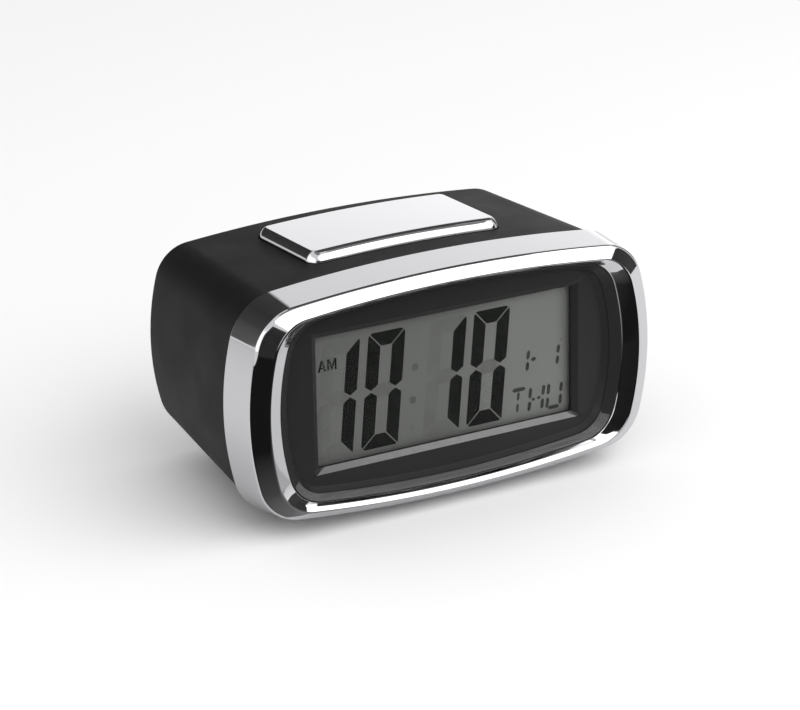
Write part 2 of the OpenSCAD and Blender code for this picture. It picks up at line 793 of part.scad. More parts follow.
module snooze_carrier() {
    plate_w = snooze_w - 2;
    plate_len = snooze_len - 2 * carrier_inset;
    pin_tip = snooze_board_z + snooze_switch_h - pin_bite;
    color([0.2, 0.2, 0.2]) place() {
        block([0, snooze_y, skirt_z - carrier_t / 2], [plate_w, plate_len, carrier_t]);
        both_sides() block(
            [(plate_w / 2 + catch_x) / 2, snooze_y, skirt_z - carrier_t / 2],
            [catch_x - plate_w / 2, catch_len, carrier_t]
        );
        both_sides() block(
            [catch_x - 1, snooze_y, (carrier_z + catch_top) / 2],
            [2, catch_len, catch_top - carrier_z]
        );
        bar_z(0, snooze_y, pin_d, pin_tip, skirt_z);
    }
}

module snooze_springs() {
    spring_wire = 0.6;
    color("lightgray") place() both_sides() difference() {
        bar_z(spring_x, snooze_y, spring_d, snooze_board_z, carrier_z);
        bar_z(spring_x, snooze_y, spring_d - 2 * spring_wire, snooze_board_z - 1, carrier_z + 1);
    }
}

module snooze_board() {
    width = 2 * snooze_post_x + snooze_post_d + 2;
    color("darkgreen") place() difference() {
        block([0, snooze_y, snooze_board_z - board_t / 2], [width, snooze_board_len, board_t]);
        both_sides() bar_z(
            snooze_post_x, snooze_y, small_screw_d + 2 * pilot_gap,
            snooze_board_z - 3, snooze_board_z + 1
        );
    }
}

module snooze_switch() {
    switch_w = 8;
    top = snooze_board_z + snooze_switch_h;
    color([0.25, 0.25, 0.25]) place() difference() {
        block([0, snooze_y, snooze_board_z + snooze_switch_h / 2], [switch_w, switch_w, snooze_switch_h]);
        bar_z(0, snooze_y, pin_d + 2 * pin_gap, top - pin_bite - snooze_travel - seat_gap, top + 1);
    }
}

module snooze_board_screws() {
    low = snooze_board_z - board_t;
    color("gray") place() both_sides() {
        bar_z(snooze_post_x, snooze_y, small_screw_d, low, low + small_screw_len);
        bar_z(snooze_post_x, snooze_y, small_head_d, low - small_head_h, low);
    }
}

module key_board() {
    width = key_board_right - key_board_left;
    color("darkgreen") place() difference() {
        block(
            [(key_board_left + key_board_right) / 2, key_board_back - board_t / 2, key_row_z],
            [width, board_t, key_board_h]
        );
        for (x = key_post_xs) {
            bar_y(x, key_row_z, small_screw_d + 2 * pilot_gap, key_board_front - 1, key_board_back + 1);
        }
    }
}

module key_switches() {
    floor_y = key_switch_top - pin_bite - key_travel - seat_gap;
    color([0.25, 0.25, 0.25]) place() for (x = key_xs) {
        difference() {
            block(
                [x, key_board_back + key_switch_h / 2, key_row_z],
                [key_switch_w, key_switch_h, key_switch_w]
            );
            bar_y(x, key_row_z, pin_d + 2 * pin_gap, floor_y, key_switch_top + 1);
        }
    }
}

module key_board_screws() {
    screw_len = key_board_back - key_board_front + inner_y - key_board_back - 0.5;
    color("gray") place() for (x = key_post_xs) {
        bar_y(x, key_row_z, small_screw_d, key_board_front, key_board_front + screw_len);
        bar_y(x, key_row_z, small_head_d, key_board_front - small_head_h, key_board_front);
    }
}

// Push button: pin, flange and cap with a chamfered end, turned about its own axis
module push_button(i) {
    cap = key_d / 2;
    tip = key_switch_top - pin_bite;
    end = body_depth + key_out;
    color([0.22, 0.22, 0.22]) place() translate([key_xs[i], 0, key_row_z]) rotate([-90, 0, 0])
        rotate_extrude() polygon([
            [0, tip],
            [pin_d / 2, tip],
            [pin_d / 2, flange_front],
            [key_flange_r, flange_front],
            [key_flange_r, flange_back],
            [cap, flange_back],
            [cap, end - key_edge],
            [cap - key_edge, end],
            [0, end]
        ]);
}

module mode_button() {
    push_button(3);
}

module set_button() {
    push_button(2);
}

module up_button() {
    push_button(1);
}

module down_button() {
    push_button(0);
}

module alarm_slider() {
    x = slider_x - slider_travel / 2;
    end = body_depth + key_out;
    pin_len = key_travel + seat_gap + pin_bite;
    flange_h = slider_h + 2 * key_gap + 2 * flange_w;
    color([0.3, 0.3, 0.3]) place() difference() {
        union() {
            block([x, flange_front - pin_len / 2, key_row_z], [slider_pin, pin_len, slider_pin]);
            block([x, (flange_front + flange_back) / 2, key_row_z], [slider_flange_w, flange_t, flange_h]);
            block([x, (flange_back + end) / 2, key_row_z], [slider_w, end - flange_back, slider_h]);
        }
        for (i = [-1, 1]) block([x + i * slider_w / 5, end, key_row_z], [slider_w / 6, 0.8, slider_h + 1]);
    }
}

module alarm_switch() {
    slot_w = slider_pin + slider_travel + 2 * pin_gap;
    mid = [slider_x, key_board_back + key_switch_h / 2, key_row_z];
    color("gray") place() difference() {
        block(mid, [slot_w + 2 * alarm_wall, key_switch_h, slider_pin + 2 * pin_gap + 2 * alarm_wall]);
        block(mid + [0, alarm_floor, 0], [slot_w, key_switch_h, slider_pin + 2 * pin_gap]);
    }
}

module battery_box() {
    flange_y = inner_y - box_wall;
    color([0.18, 0.18, 0.18]) place() difference() {
        union() {
            block(
                [0, (box_floor - box_wall + inner_y) / 2, door_z],
                [box_in_w + 2 * box_wall, inner_y - box_floor + box_wall, box_in_h + 2 * box_wall]
            );
            block(
                [0, (flange_y + inner_y) / 2, door_z],
                [box_flange_w, box_wall, box_flange_h]
            );
        }
        block([0, (box_floor + inner_y) / 2 + 1, door_z], [box_in_w, inner_y - box_floor + 2, box_in_h]);
    }
}

module battery_door() {
    grip_r = 9;
    grip_depth = 0.9;
    color([0.16, 0.16, 0.16]) place() difference() {
        block([0, (inner_y + body_depth) / 2, door_z], [door_w, rear_wall, door_h]);
        translate([0, body_depth + grip_r - grip_depth, door_z + door_h / 2 - 4])
            rotate([0, 90, 0]) cylinder(r = grip_r, h = 14, center = true);
    }
}

// One cell lying across the clock, its raised end to the right or to the left
module cell(z, side) {
    body_len = cell_len - cell_nub;
    translate([0, cell_y, z]) rotate([0, side * 90, 0]) {
        translate([0, 0, -cell_len / 2]) cylinder(d = cell_d, h = body_len);
        cylinder(d = cell_d * 0.36, h = cell_len / 2);
    }
}

module battery_cells() {
    color("slategray") place() {
        cell(door_z + cell_z, -1);
        cell(door_z - cell_z, 1);
    }
}

// Contact at one end of a cell: a plate on the wall of the box and what stands on it
module contact(z, side, d, hollow) {
    wall_x = box_in_w / 2;
    reach = contact_room - contact_t;
    block([side * (wall_x - contact_t / 2), cell_y, z], [contact_t, contact_w, contact_w]);
    translate([side * (wall_x - contact_t), cell_y, z]) rotate([0, -side * 90, 0]) difference() {
        cylinder(d = d, h = reach);
        translate([0, 0, -hollow]) cylinder(d = max(d - 1.2, 0.2), h = hollow * (reach + 2));
    }
}

module battery_springs() {
    color("lightgray") place() {
        contact(door_z + cell_z, 1, 6.4, 1);
        contact(door_z - cell_z, -1, 6.4, 1);
    }
}

module battery_plates() {
    color("lightgray") place() {
        contact(door_z + cell_z, -1, 3, 0);
        contact(door_z - cell_z, 1, 3, 0);
    }
}

module buzzer_disc() {
    back = inner_y - buzzer_ledge;
    color("gold") place() bar_y(buzzer_x, buzzer_z, buzzer_d, back - buzzer_t, back);
}

module buzzer_retainer() {
    back = inner_y - buzzer_ledge - buzzer_t;
    color([0.2, 0.2, 0.2]) place() difference() {
        bar_y(buzzer_x, buzzer_z, buzzer_d, back - buzzer_hold, back);
        bar_y(buzzer_x, buzzer_z, buzzer_d - 2 * buzzer_rim, back - buzzer_hold - 1, back + 1);
    }
}

module case_screws() {
    color("gray") place() screw_places() {
        bar_y(0, 0, screw_d, screw_tip, screw_seat);
        bar_y(0, 0, screw_head_d, screw_seat, screw_seat + screw_head_h);
    }
}

module front_feet() {
    color([0.1, 0.1, 0.1]) foot_pair(front_foot_x, front_foot_y, foot_d, 0, front_foot_top);
}

module rear_feet() {
    color([0.1, 0.1, 0.1]) foot_pair(rear_foot_x, rear_foot_y, foot_d, 0, rear_foot_top);
}

// Flat cable from the main board, hanging a little under the snooze board, and up to the key board
module ribbon_cable() {
    n = 12;
    low = min(key_row_z - key_board_h / 3, snooze_board_z - board_t - cable_t);
    start = [board_back, low];
    knee = [snooze_y + snooze_board_len / 2 + cable_t, low];
    end = [key_board_front, key_row_z - key_board_h / 3 - cable_t];
    hang = [for (i = [0:n]) let (t = i / n) start + (knee - start) * t - [0, cable_sag * 4 * t * (1 - t)]];
    path = concat(hang, [end]);
    color("lightgray") place() translate([cable_x, 0, 0]) rotate([90, 0, 90]) linear_extrude(cable_w)
        polygon(concat(
            [for (v = path) v + [0, cable_t / 2]],
            [for (i = [n + 1:-1:0]) path[i] - [0, cable_t / 2]]
        ));
}

module battery_leads() {
    color("firebrick") place() for (i = [0, 1]) {
        x = contact_room - box_in_w / 2;
        z = door_z - i * lead_gap;
        wire([
            [x, board_back, z],
            [x, board_back + lead_bend, z],
            [x, (board_back + box_floor) / 2, z - lead_sag],
            [x, box_floor - box_wall - lead_bend, z],
            [x, box_floor - box_wall, z]
        ], lead_d);
    }
}

module snooze_leads() {
    low = snooze_board_z - board_t;
    color("goldenrod") place() for (i = [0, 1]) {
        x = -spring_x / 2 - i * lead_gap;
        wire([
            [x, board_back, low - 2 * lead_sag],
            [x, board_back + lead_bend, low - 2 * lead_sag],
            [x, snooze_y - 2 * lead_bend, low - 2 * lead_sag],
            [x, snooze_y - lead_bend, low - lead_sag],
            [x, snooze_y - lead_bend, low]
        ], lead_d);
    }
}

module buzzer_leads() {
    back = inner_y - buzzer_ledge - buzzer_t;
    color("black") place() for (i = [0, 1]) {
        x = buzzer_x + (1.5 - i) * lead_gap;
        wire([
            [x, key_board_front, key_row_z - lead_bend],
            [x, key_board_front - 2 * lead_d, key_row_z - lead_bend],
            [x, key_board_front - 3 * lead_d, key_row_z - lead_bend - lead_sag],
            [x, key_board_front - 3 * lead_d, buzzer_z + lead_bend + lead_d],
            [x, key_board_front - lead_d, buzzer_z + lead_d],
            [x, key_board_front + lead_d, buzzer_z],
            [x, back, buzzer_z]
        ], lead_d);
    }
}

bezel_ring();
front_panel();
display_window();
lcd_glass();
light_guide();
backlight_leds();
zebra_strips();
lcd_frame();
main_board();
chip_blob();
crystal();
board_screws();
body_shell();
snooze_bar();
snooze_carrier();
snooze_springs();
snooze_board();
snooze_switch();
snooze_board_screws();
key_board();
key_switches();
key_board_screws();
mode_button();
set_button();
up_button();
down_button();
alarm_slider();
alarm_switch();
battery_box();
battery_door();
battery_cells();
battery_springs();
battery_plates();
buzzer_disc();
buzzer_retainer();
case_screws();
front_feet();
rear_feet();
ribbon_cable();
battery_leads();
snooze_leads();
buzzer_leads();
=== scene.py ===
import math

import bpy
from mathutils import Matrix, Vector


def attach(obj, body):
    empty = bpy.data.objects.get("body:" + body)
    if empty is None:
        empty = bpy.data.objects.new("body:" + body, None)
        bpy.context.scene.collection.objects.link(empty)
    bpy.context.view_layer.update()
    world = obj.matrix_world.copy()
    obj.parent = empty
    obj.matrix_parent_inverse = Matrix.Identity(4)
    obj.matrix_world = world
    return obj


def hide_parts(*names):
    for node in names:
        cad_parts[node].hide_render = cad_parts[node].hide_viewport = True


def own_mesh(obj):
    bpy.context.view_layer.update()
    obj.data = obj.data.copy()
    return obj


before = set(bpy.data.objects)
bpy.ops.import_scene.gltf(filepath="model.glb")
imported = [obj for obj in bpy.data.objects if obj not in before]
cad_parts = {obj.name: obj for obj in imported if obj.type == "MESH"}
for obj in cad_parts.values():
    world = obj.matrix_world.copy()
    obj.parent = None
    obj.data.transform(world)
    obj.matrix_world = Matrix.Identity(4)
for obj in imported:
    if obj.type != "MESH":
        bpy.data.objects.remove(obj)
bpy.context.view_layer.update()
scene = bpy.context.scene

# Sizes in millimetres, square to the face: x to the right, y back from the crest of the ring,
# z up from the centre of the band. STAND leans the finished pieces back and puts them on the feet.
MM = 0.001
FACE_W, FACE_H = 124.0, 64.6
CROWN_R, SIDE_R, CORNER_R = 450.0, 76.0, 14.2
RING_DEPTH, LIP_BACK = 14.2, 3.6
PANEL_Y, PANEL_BACK = 6.0, 8.0
VIEW_W, VIEW_H, VIEW_BEVEL = 77.8, 35.2, 1.5
GLASS_W, GLASS_H = 84.8, 40.2
WINDOW_BACK, GLASS_Y, GLASS_BACK = 9.0, 9.2, 11.2
INK_Y, INK_T = 9.194, 0.02
BODY_DEPTH, INNER_Y, WALL, REAR_ROUND = 67.3, 65.1, 2.0, 3.0
SNOOZE_W, SNOOZE_LEN, SNOOZE_Y, SNOOZE_R = 58.4, 31.4, 40.5, 3.8
SNOOZE_LIFT, SKIRT_Z, SNOOZE_BOARD_Z, SNOOZE_POST_X = 2.8, 25.4262, 15.4262, 36.7
KEY_Z, KEY_END, STEM_FRONT, FLANGE_FRONT, FLANGE_BACK = 18.5458, 68.5, 61.9, 63.8, 64.8
KEYS = {"mode": 9.0, "set": -5.0, "up": -19.0, "down": -33.0}
SLIDER_X, SLIDER_REST_X = 30.0, 28.0
DOOR_W, DOOR_H, DOOR_Z = 55.4, 25.4, -4.7938
CELL_Y, CELL_Z, CELL_R, CELL_LEN = 59.25, 5.55, 5.25, 44.5
SOUND_X, SOUND_Z = -38.65, 3.0
BOSS_MEET_Y, SCREW_SEAT_Y = 26.0, 30.0
SCREWS = [(x, z) for x in (-49.5, 49.5) for z in (14.0, -8.0)]
FEET = {"front": (42.0, -14.0192, 5.5641), "rear": (36.0, 22.0192, 8.5337)}

STAND = Matrix.Translation((0, -34.01454 * MM, 33.798905 * MM)) @ Matrix.Rotation(math.radians(-3), 4, "X")
ALONG_Y = Matrix.Rotation(math.radians(-90), 4, "X")


# Outlines: half width, half height, crown, side and corner radii, depth, centre height

def inset(o, t):
    return [v - t for v in o[:5]] + o[5:]


def moved(o, y):
    return o[:5] + [y, o[6]]


def between(o, p, t):
    return [a + (b - a) * t for a, b in zip(o, p)]


def smaller(w, h, y, z):
    s = w / FACE_W
    return [w / 2, h / 2, CROWN_R * s, SIDE_R * s, CORNER_R - (FACE_H - h) / 2 * 0.75, y, z]


band_back = [FACE_W / 2, FACE_H / 2, CROWN_R, SIDE_R, CORNER_R, RING_DEPTH, 0.0]
band_front = moved(inset(band_back, 1.3), 2.4)
crest = smaller(112.4, 56.7, 0.0, -0.4)
mouth = smaller(103.8, 53.7, 2.1, -0.2)
inner_bulge = smaller(108.51, 54.7, 0.95, -0.31)
bore = inset(band_front, 1.4)
panel_edge = inset(bore, 0.3)
rim = inset(mouth, 0.08)
dish_step = smaller(98.6, 50.7, 4.1, -0.2)
panel_flat = smaller(96.0, 48.4, PANEL_Y, -0.2)
body_front = inset(band_back, 0.9)
rear = [56.8, 27.6, 500.0, 66.0, 11.1, BODY_DEPTH - REAR_ROUND, 3.85]


def body_at(y):
    return moved(between(body_front, rear, (y - RING_DEPTH) / (rear[5] - RING_DEPTH)), y)


def roof(x, y):
    o = body_at(y)
    return o[6] + o[1] - o[2] + math.sqrt(o[2] ** 2 - x * x)


SIDE_STEPS, CORNER_STEPS, CROWN_STEPS, EDGE_STEPS = 14, 28, 22, 5
LONGEST_REACH = 0.45


def arc_points(centre, radius, first, last, steps):
    """Points along an arc, up to the last but one."""
    turns = [first + (last - first) * i / steps for i in range(steps)]
    return [centre + radius * Vector((math.cos(t), math.sin(t))) for t in turns]


def outline(o):
    """Points round an outline, from the right-hand end through the top."""
    half_w, half_h, crown_r, side_r, corner_r, depth, rise = o
    crown, side = Vector((0, half_h - crown_r)), Vector((half_w - side_r, 0))
    span = (side - crown).length
    u = (side - crown) / span
    to_crown, to_side = crown_r - corner_r, side_r - corner_r
    along = (to_crown * to_crown - to_side * to_side + span * span) / (2 * span)
    corner = crown + along * u + math.sqrt(to_crown * to_crown - along * along) * Vector((u.y, -u.x))
    crown_turn = math.atan2(corner.y - crown.y, corner.x - crown.x)
    side_turn = math.atan2(corner.y - side.y, corner.x - side.x)
    quarter = arc_points(side, side_r, 0, side_turn, SIDE_STEPS)
    quarter += arc_points(corner, corner_r, side_turn, crown_turn, CORNER_STEPS)
    quarter += arc_points(crown, crown_r, crown_turn, math.pi / 2, CROWN_STEPS)
    quarter.append(Vector((0, half_h)))
    n = len(quarter)
    flat = [(v.x, v.y) for v in quarter]
    flat += [(-quarter[i].x, quarter[i].y) for i in range(n - 2, -1, -1)]
    flat += [(-quarter[i].x, -quarter[i].y) for i in range(1, n)]
    flat += [(quarter[i].x, -quarter[i].y) for i in range(n - 2, 0, -1)]
    return [Vector((x, depth, z + rise)) for x, z in flat]


def softened(stations, closed=False):
    """Outlines with each edge rounded. A station is an outline and how far its rounding reaches,
    which is never past a set share of the way to the next station."""
    found, n = [], len(stations)
    for i, (o, reach) in enumerate(stations):
        if reach == 0 or (not closed and i in (0, n - 1)):
            found.append(o)
            continue
        ends = []
        for p in (stations[i - 1][0], stations[(i + 1) % n][0]):
            gap = math.hypot((abs(p[0] - o[0]) + abs(p[1] - o[1])) / 2, p[5] - o[5])
            ends.append(between(o, p, min(LONGEST_REACH, reach / max(gap, 1e-6))))
        for k in range(EDGE_STEPS + 1):
            s = k / EDGE_STEPS
            found.append(between(between(ends[0], o, s), between(o, ends[1], s), s))
    return found


# Modelling
SMOOTH_BELOW = math.radians(30)


def only(*pieces):
    bpy.ops.object.select_all(action="DESELECT")
    for piece in pieces:
        piece.select_set(True)
    bpy.context.view_layer.objects.active = pieces[0]
    return pieces[0]


def tidied(piece):
    """Merges doubled points and turns every face outwards."""
    only(piece)
    bpy.ops.object.mode_set(mode="EDIT")
    bpy.ops.mesh.select_all(action="SELECT")
    bpy.ops.mesh.remove_doubles(threshold=2e-7)
    bpy.ops.mesh.dissolve_degenerate(threshold=1e-7)
    bpy.ops.mesh.select_all(action="SELECT")
    bpy.ops.mesh.normals_make_consistent(inside=False)
    bpy.ops.object.mode_set(mode="OBJECT")
    return piece


def loft(name, rings, closed=False, last_cap=True):
    """Skin drawn out ring by ring, capped at its ends or closed back on itself."""
    bpy.ops.object.select_all(action="DESELECT")
    bpy.ops.mesh.primitive_circle_add(vertices=len(rings[0]), radius=1, fill_type="NOTHING")
    piece = bpy.context.object
    piece.name = name
    mesh = piece.data
    held = list(range(len(rings[0])))
    for i, p in zip(held, rings[0]):
        mesh.vertices[i].co = p * MM
    bpy.ops.object.mode_set(mode="EDIT")
    bpy.ops.mesh.select_mode(type="VERT")
    bpy.ops.mesh.select_all(action="SELECT")
    if not closed:
        bpy.ops.mesh.edge_face_add()
        bpy.ops.mesh.select_mode(type="EDGE")
    for ring in rings[1:] + (rings[:1] if closed else []):
        bpy.ops.mesh.extrude_edges_move(TRANSFORM_OT_translate={"value": (0, 0, 0)})
        bpy.ops.object.mode_set(mode="OBJECT")
        places = {tuple(round(c, 9) for c in mesh.vertices[i].co): k for k, i in enumerate(held)}
        old = set(held)
        fresh = [v for v in mesh.vertices if v.select and v.index not in old]
        for v in fresh:
            k = places[tuple(round(c, 9) for c in v.co)]
            held[k] = v.index
        for k, i in enumerate(held):
            mesh.vertices[i].co = ring[k] * MM
        bpy.ops.object.mode_set(mode="EDIT")
    if last_cap and not closed:
        bpy.ops.mesh.edge_face_add()
    bpy.ops.mesh.select_mode(type="VERT")
    bpy.ops.object.mode_set(mode="OBJECT")
    return tidied(piece)


def turned(name, profile, place, n=48):
    """Round piece from pairs of radius and length, about the axis that place carries along z."""
    rings = []
    turns = [2 * math.pi * i / n for i in range(n)]
    for radius, length in profile:
        rings.append([Vector((radius * math.cos(t), radius * math.sin(t), length)) for t in turns])
    return placed(loft(name, rings), place)


def placed(piece, matrix):
    only(piece)
    piece.matrix_world = matrix
    bpy.ops.object.transform_apply(location=True, rotation=True, scale=True)
    return piece


def at(x, y, z):
    return Matrix.Translation((x * MM, y * MM, z * MM))


def rod_y(x, z, d, first, last, n=48):
    return turned("rod", [(d / 2, first), (d / 2, last)], at(x, 0, z) @ ALONG_Y, n)


def rod_z(x, y, d, first, last, n=32):
    return turned("rod", [(d / 2, first), (d / 2, last)], at(x, y, 0), n)


def rectangle(w, h, y, z=0.0, x=0.0):
    return [Vector((x + a * w / 2, y, z + b * h / 2)) for a, b in ((1, 1), (-1, 1), (-1, -1), (1, -1))]


def slab(name, w, h, first, last, z=0.0, x=0.0):
    """Block from its front depth to its rear depth."""
    return loft(name, [rectangle(w, h, first, z, x), rectangle(w, h, last, z, x)])


def bevelled(piece, width, segments=3):
    only(piece)
    bpy.ops.object.modifier_add(type="BEVEL")
    edge = piece.modifiers[-1]
    edge.width, edge.segments = width * MM, segments
    edge.limit_method, edge.angle_limit = "ANGLE", math.radians(35)
    bpy.ops.object.modifier_apply(modifier=edge.name)
    return piece


def joined(name, pieces):
    only(*pieces)
    if len(pieces) > 1:
        bpy.ops.object.join()
    bpy.context.object.name = name
    return bpy.context.object


def combined(piece, tools, how):
    """Adds the tools to the piece, or cuts them out of it."""
    for tool in tools:
        only(piece)
        bpy.ops.object.modifier_add(type="BOOLEAN")
        step = piece.modifiers[-1]
        step.operation, step.solver, step.object = how, "EXACT", tool
        bpy.ops.object.modifier_apply(modifier=step.name)
        bpy.data.objects.remove(tool, do_unlink=True)
    return piece


def fused(piece, *tools):
    return combined(piece, tools, "UNION")


def carved(piece, *tools):
    return combined(piece, tools, "DIFFERENCE")


def completed(piece, coat, body="case", nodes=(), stand=True):
    """Stands a piece in place, smooths it, and gives it its finish and its body."""
    tidied(piece)
    if stand:
        placed(piece, STAND)
    only(piece)
    bpy.ops.object.shade_smooth_by_angle(angle=SMOOTH_BELOW)
    bpy.ops.object.modifier_add(type="WEIGHTED_NORMAL")
    piece.modifiers[-1].keep_sharp = True
    bpy.ops.object.modifier_apply(modifier=piece.modifiers[-1].name)
    if coat is not None:
        piece.data.materials.clear()
        piece.data.materials.append(coat)
    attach(piece, body)
    if nodes:
        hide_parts(*nodes)
    return piece


def lettering(name, words, mid, height, thick):
    """Printed words that read from behind, as a thin mesh."""
    bpy.ops.object.select_all(action="DESELECT")
    bpy.ops.object.text_add()
    text = bpy.context.object
    text.name = name
    text.data.body = words
    text.data.align_x = "CENTER"
    text.data.extrude = 0.5
    bpy.ops.object.convert(target="MESH")
    xs = [v.co.x for v in text.data.vertices]
    ys = [v.co.y for v in text.data.vertices]
    s = height / (max(ys) - min(ys))
    centre = Matrix.Translation((-(max(xs) + min(xs)) / 2, -(max(ys) + min(ys)) / 2, 0))
    turn = Matrix.Rotation(math.pi, 4, "Z") @ Matrix.Rotation(math.pi / 2, 4, "X")
    size = Matrix.Diagonal((s * MM, s * MM, thick * MM, 1))
    return tidied(placed(text, at(*mid) @ turn @ size @ centre))


def flat_shapes(name, shapes, y, thick):
    """Thin plates with the outlines given as lists of x and z."""
    plates = []
    for shape in shapes:
        rings = [[Vector((x, y + side * thick / 2, z)) for x, z in shape] for side in (-1, 1)]
        plates.append(loft(name, rings))
    return joined(name, plates)


# Finishes

def finish(name, colour, roughness, metallic=0.0, **more):
    coat = bpy.data.materials.new(name)
    coat.use_nodes = True
    shader = coat.node_tree.nodes["Principled BSDF"]
    shader.inputs["Base Color"].default_value = (*colour, 1)
    shader.inputs["Roughness"].default_value = roughness
    shader.inputs["Metallic"].default_value = metallic
    for socket, value in more.items():
        shader.inputs[socket.replace("_", " ")].default_value = value
    return coat


def noise(coat, scale, detail=3.0, stretch=(1, 1, 1)):
    """Noise in the object's own space."""
    tree = coat.node_tree
    coord = tree.nodes.new("ShaderNodeTexCoord")
    mapping = tree.nodes.new("ShaderNodeMapping")
    mapping.inputs["Scale"].default_value = stretch
    tree.links.new(coord.outputs["Object"], mapping.inputs["Vector"])
    texture = tree.nodes.new("ShaderNodeTexNoise")
    texture.inputs["Scale"].default_value = scale
    texture.inputs["Detail"].default_value = detail
    tree.links.new(mapping.outputs["Vector"], texture.inputs["Vector"])
    return texture.outputs["Fac"]


def coordinate(coat, space, axis):
    """One axis of a piece's own space, or of its UV map."""
    tree = coat.node_tree
    coord = tree.nodes.new("ShaderNodeTexCoord")
    split = tree.nodes.new("ShaderNodeSeparateXYZ")
    tree.links.new(coord.outputs[space], split.inputs["Vector"])
    return split.outputs[axis]


def spread(coat, source, span, values):
    """Carries a source that runs over a span to a range of values."""
    tree = coat.node_tree
    scale = tree.nodes.new("ShaderNodeMapRange")
    for socket, value in zip(("From Min", "From Max", "To Min", "To Max"), (*span, *values)):
        scale.inputs[socket].default_value = value
    tree.links.new(source, scale.inputs["Value"])
    return scale.outputs["Result"]


def crosswise(coat, width):
    """Runs from 0 at the left end of a piece to 1 at its right end."""
    half = width / 2 * MM
    return spread(coat, coordinate(coat, "Object", "X"), (-half, half), (0, 1))


NOISE_SPAN = (0.3, 0.7)


def varied_sheen(coat, source, low, high):
    tree = coat.node_tree
    sheen = spread(coat, source, NOISE_SPAN, (low, high))
    tree.links.new(sheen, tree.nodes["Principled BSDF"].inputs["Roughness"])


def varied_colour(coat, source, stops):
    tree = coat.node_tree
    ramp = tree.nodes.new("ShaderNodeValToRGB")
    ramp.color_ramp.elements[0].position = stops[0][0]
    ramp.color_ramp.elements[0].color = (*stops[0][1], 1)
    ramp.color_ramp.elements[1].position = stops[-1][0]
    ramp.color_ramp.elements[1].color = (*stops[-1][1], 1)
    for place, colour in stops[1:-1]:
        ramp.color_ramp.elements.new(place).color = (*colour, 1)
    tree.links.new(source, ramp.inputs["Fac"])
    tree.links.new(ramp.outputs["Color"], tree.nodes["Principled BSDF"].inputs["Base Color"])


def grained(coat, source, strength, depth):
    tree = coat.node_tree
    bump = tree.nodes.new("ShaderNodeBump")
    bump.inputs["Strength"].default_value = strength
    bump.inputs["Distance"].default_value = depth * MM
    tree.links.new(source, bump.inputs["Height"])
    tree.links.new(bump.outputs["Normal"], tree.nodes["Principled BSDF"].inputs["Normal"])


def grey(v):
    return (v, v, v)


chrome = finish("chrome_plating", (0.56, 0.56, 0.575), 0.04, 1.0)
varied_sheen(chrome, noise(chrome, 60, 4), 0.03, 0.06)

panel_black = finish("panel_satin_black", grey(0.02), 0.36, Specular_IOR_Level=0.2)
varied_sheen(panel_black, noise(panel_black, 120, 4), 0.32, 0.4)
grained(panel_black, noise(panel_black, 5200, 2), 0.12, 0.02)

# Painted highlight: a reflective grey that only the upward-facing bottom slope of the display's cut-out
# gets; its other slopes stay satin black.
bevel_painted_highlight = finish("panel_bevel_painted_highlight", grey(0.11), 0.3, 1.0)
varied_sheen(bevel_painted_highlight, noise(bevel_painted_highlight, 300, 3), 0.26, 0.34)

# Painted highlight: a paler grey, streaked along its length, that only the upward-facing slope from the rim
# into the dish at the bottom gets; the rest of that slope stays satin black.
rim_painted_highlight = finish("panel_rim_painted_highlight", grey(0.09), 0.34, Specular_IOR_Level=0.3)
varied_sheen(rim_painted_highlight, noise(rim_painted_highlight, 300, 3), 0.3, 0.38)
varied_colour(rim_painted_highlight, noise(rim_painted_highlight, 2500, 3, (0.02, 1, 1)), [(0.35, grey(0.072)), (0.65, grey(0.112))])

shell_black = finish("shell_soft_black", grey(0.007), 0.6, Specular_IOR_Level=0.16)
varied_colour(shell_black, noise(shell_black, 90, 5), [(0.35, grey(0.006)), (0.65, grey(0.009))])
varied_sheen(shell_black, noise(shell_black, 70, 4), 0.55, 0.64)
grained(shell_black, noise(shell_black, 4200, 2), 0.25, 0.03)

window_clear = finish("window_clear", (0.05, 0.052, 0.05), 0.05, Alpha=0.06)
varied_sheen(window_clear, noise(window_clear, 40, 2), 0.03, 0.07)

# Painted shade: the display's grey is darker towards its left end and lighter towards its right.
lcd_grey = finish("display_grey", (0.186, 0.192, 0.184), 0.4, Specular_IOR_Level=0.15)
varied_colour(
    lcd_grey,
    crosswise(lcd_grey, GLASS_W),
    [
        (0, (0.148, 0.152, 0.147)),
        (0.5, (0.152, 0.158, 0.15)),
        (0.75, (0.198, 0.205, 0.194)),
        (1, (0.208, 0.215, 0.204)),
    ],
)
varied_sheen(lcd_grey, noise(lcd_grey, 300, 2), 0.36, 0.44)


def display_print(name, low, high):
    """Finish of the shapes that the display shows, between two tones."""
    coat = finish(name, low, 0.4, Specular_IOR_Level=0.1)
    varied_colour(coat, noise(coat, 200, 2), [(0.35, low), (0.65, high)])
    return coat


lcd_ink = display_print("display_ink", (0.005, 0.0062, 0.005), (0.008, 0.0092, 0.008))
lcd_small_ink = display_print("display_small_ink", (0.032, 0.035, 0.031), (0.045, 0.048, 0.043))
lcd_dim_ink = display_print("display_dim_ink", (0.1, 0.104, 0.098), (0.114, 0.118, 0.111))
lcd_faint_ink = display_print("display_faint_ink", (0.132, 0.136, 0.13), (0.144, 0.149, 0.141))

button_grey = finish("button_dark_grey", grey(0.045), 0.45)
grained(button_grey, noise(button_grey, 4000, 2), 0.15, 0.02)
varied_sheen(button_grey, noise(button_grey, 300, 3), 0.4, 0.5)

foot_rubber = finish("foot_rubber", grey(0.02), 0.8)
grained(foot_rubber, noise(foot_rubber, 2500, 3), 0.4, 0.05)

inner_black = finish("inner_black", grey(0.02), 0.55)
grained(inner_black, noise(inner_black, 2600, 2), 0.2, 0.03)
varied_sheen(inner_black, noise(inner_black, 150, 3), 0.5, 0.6)

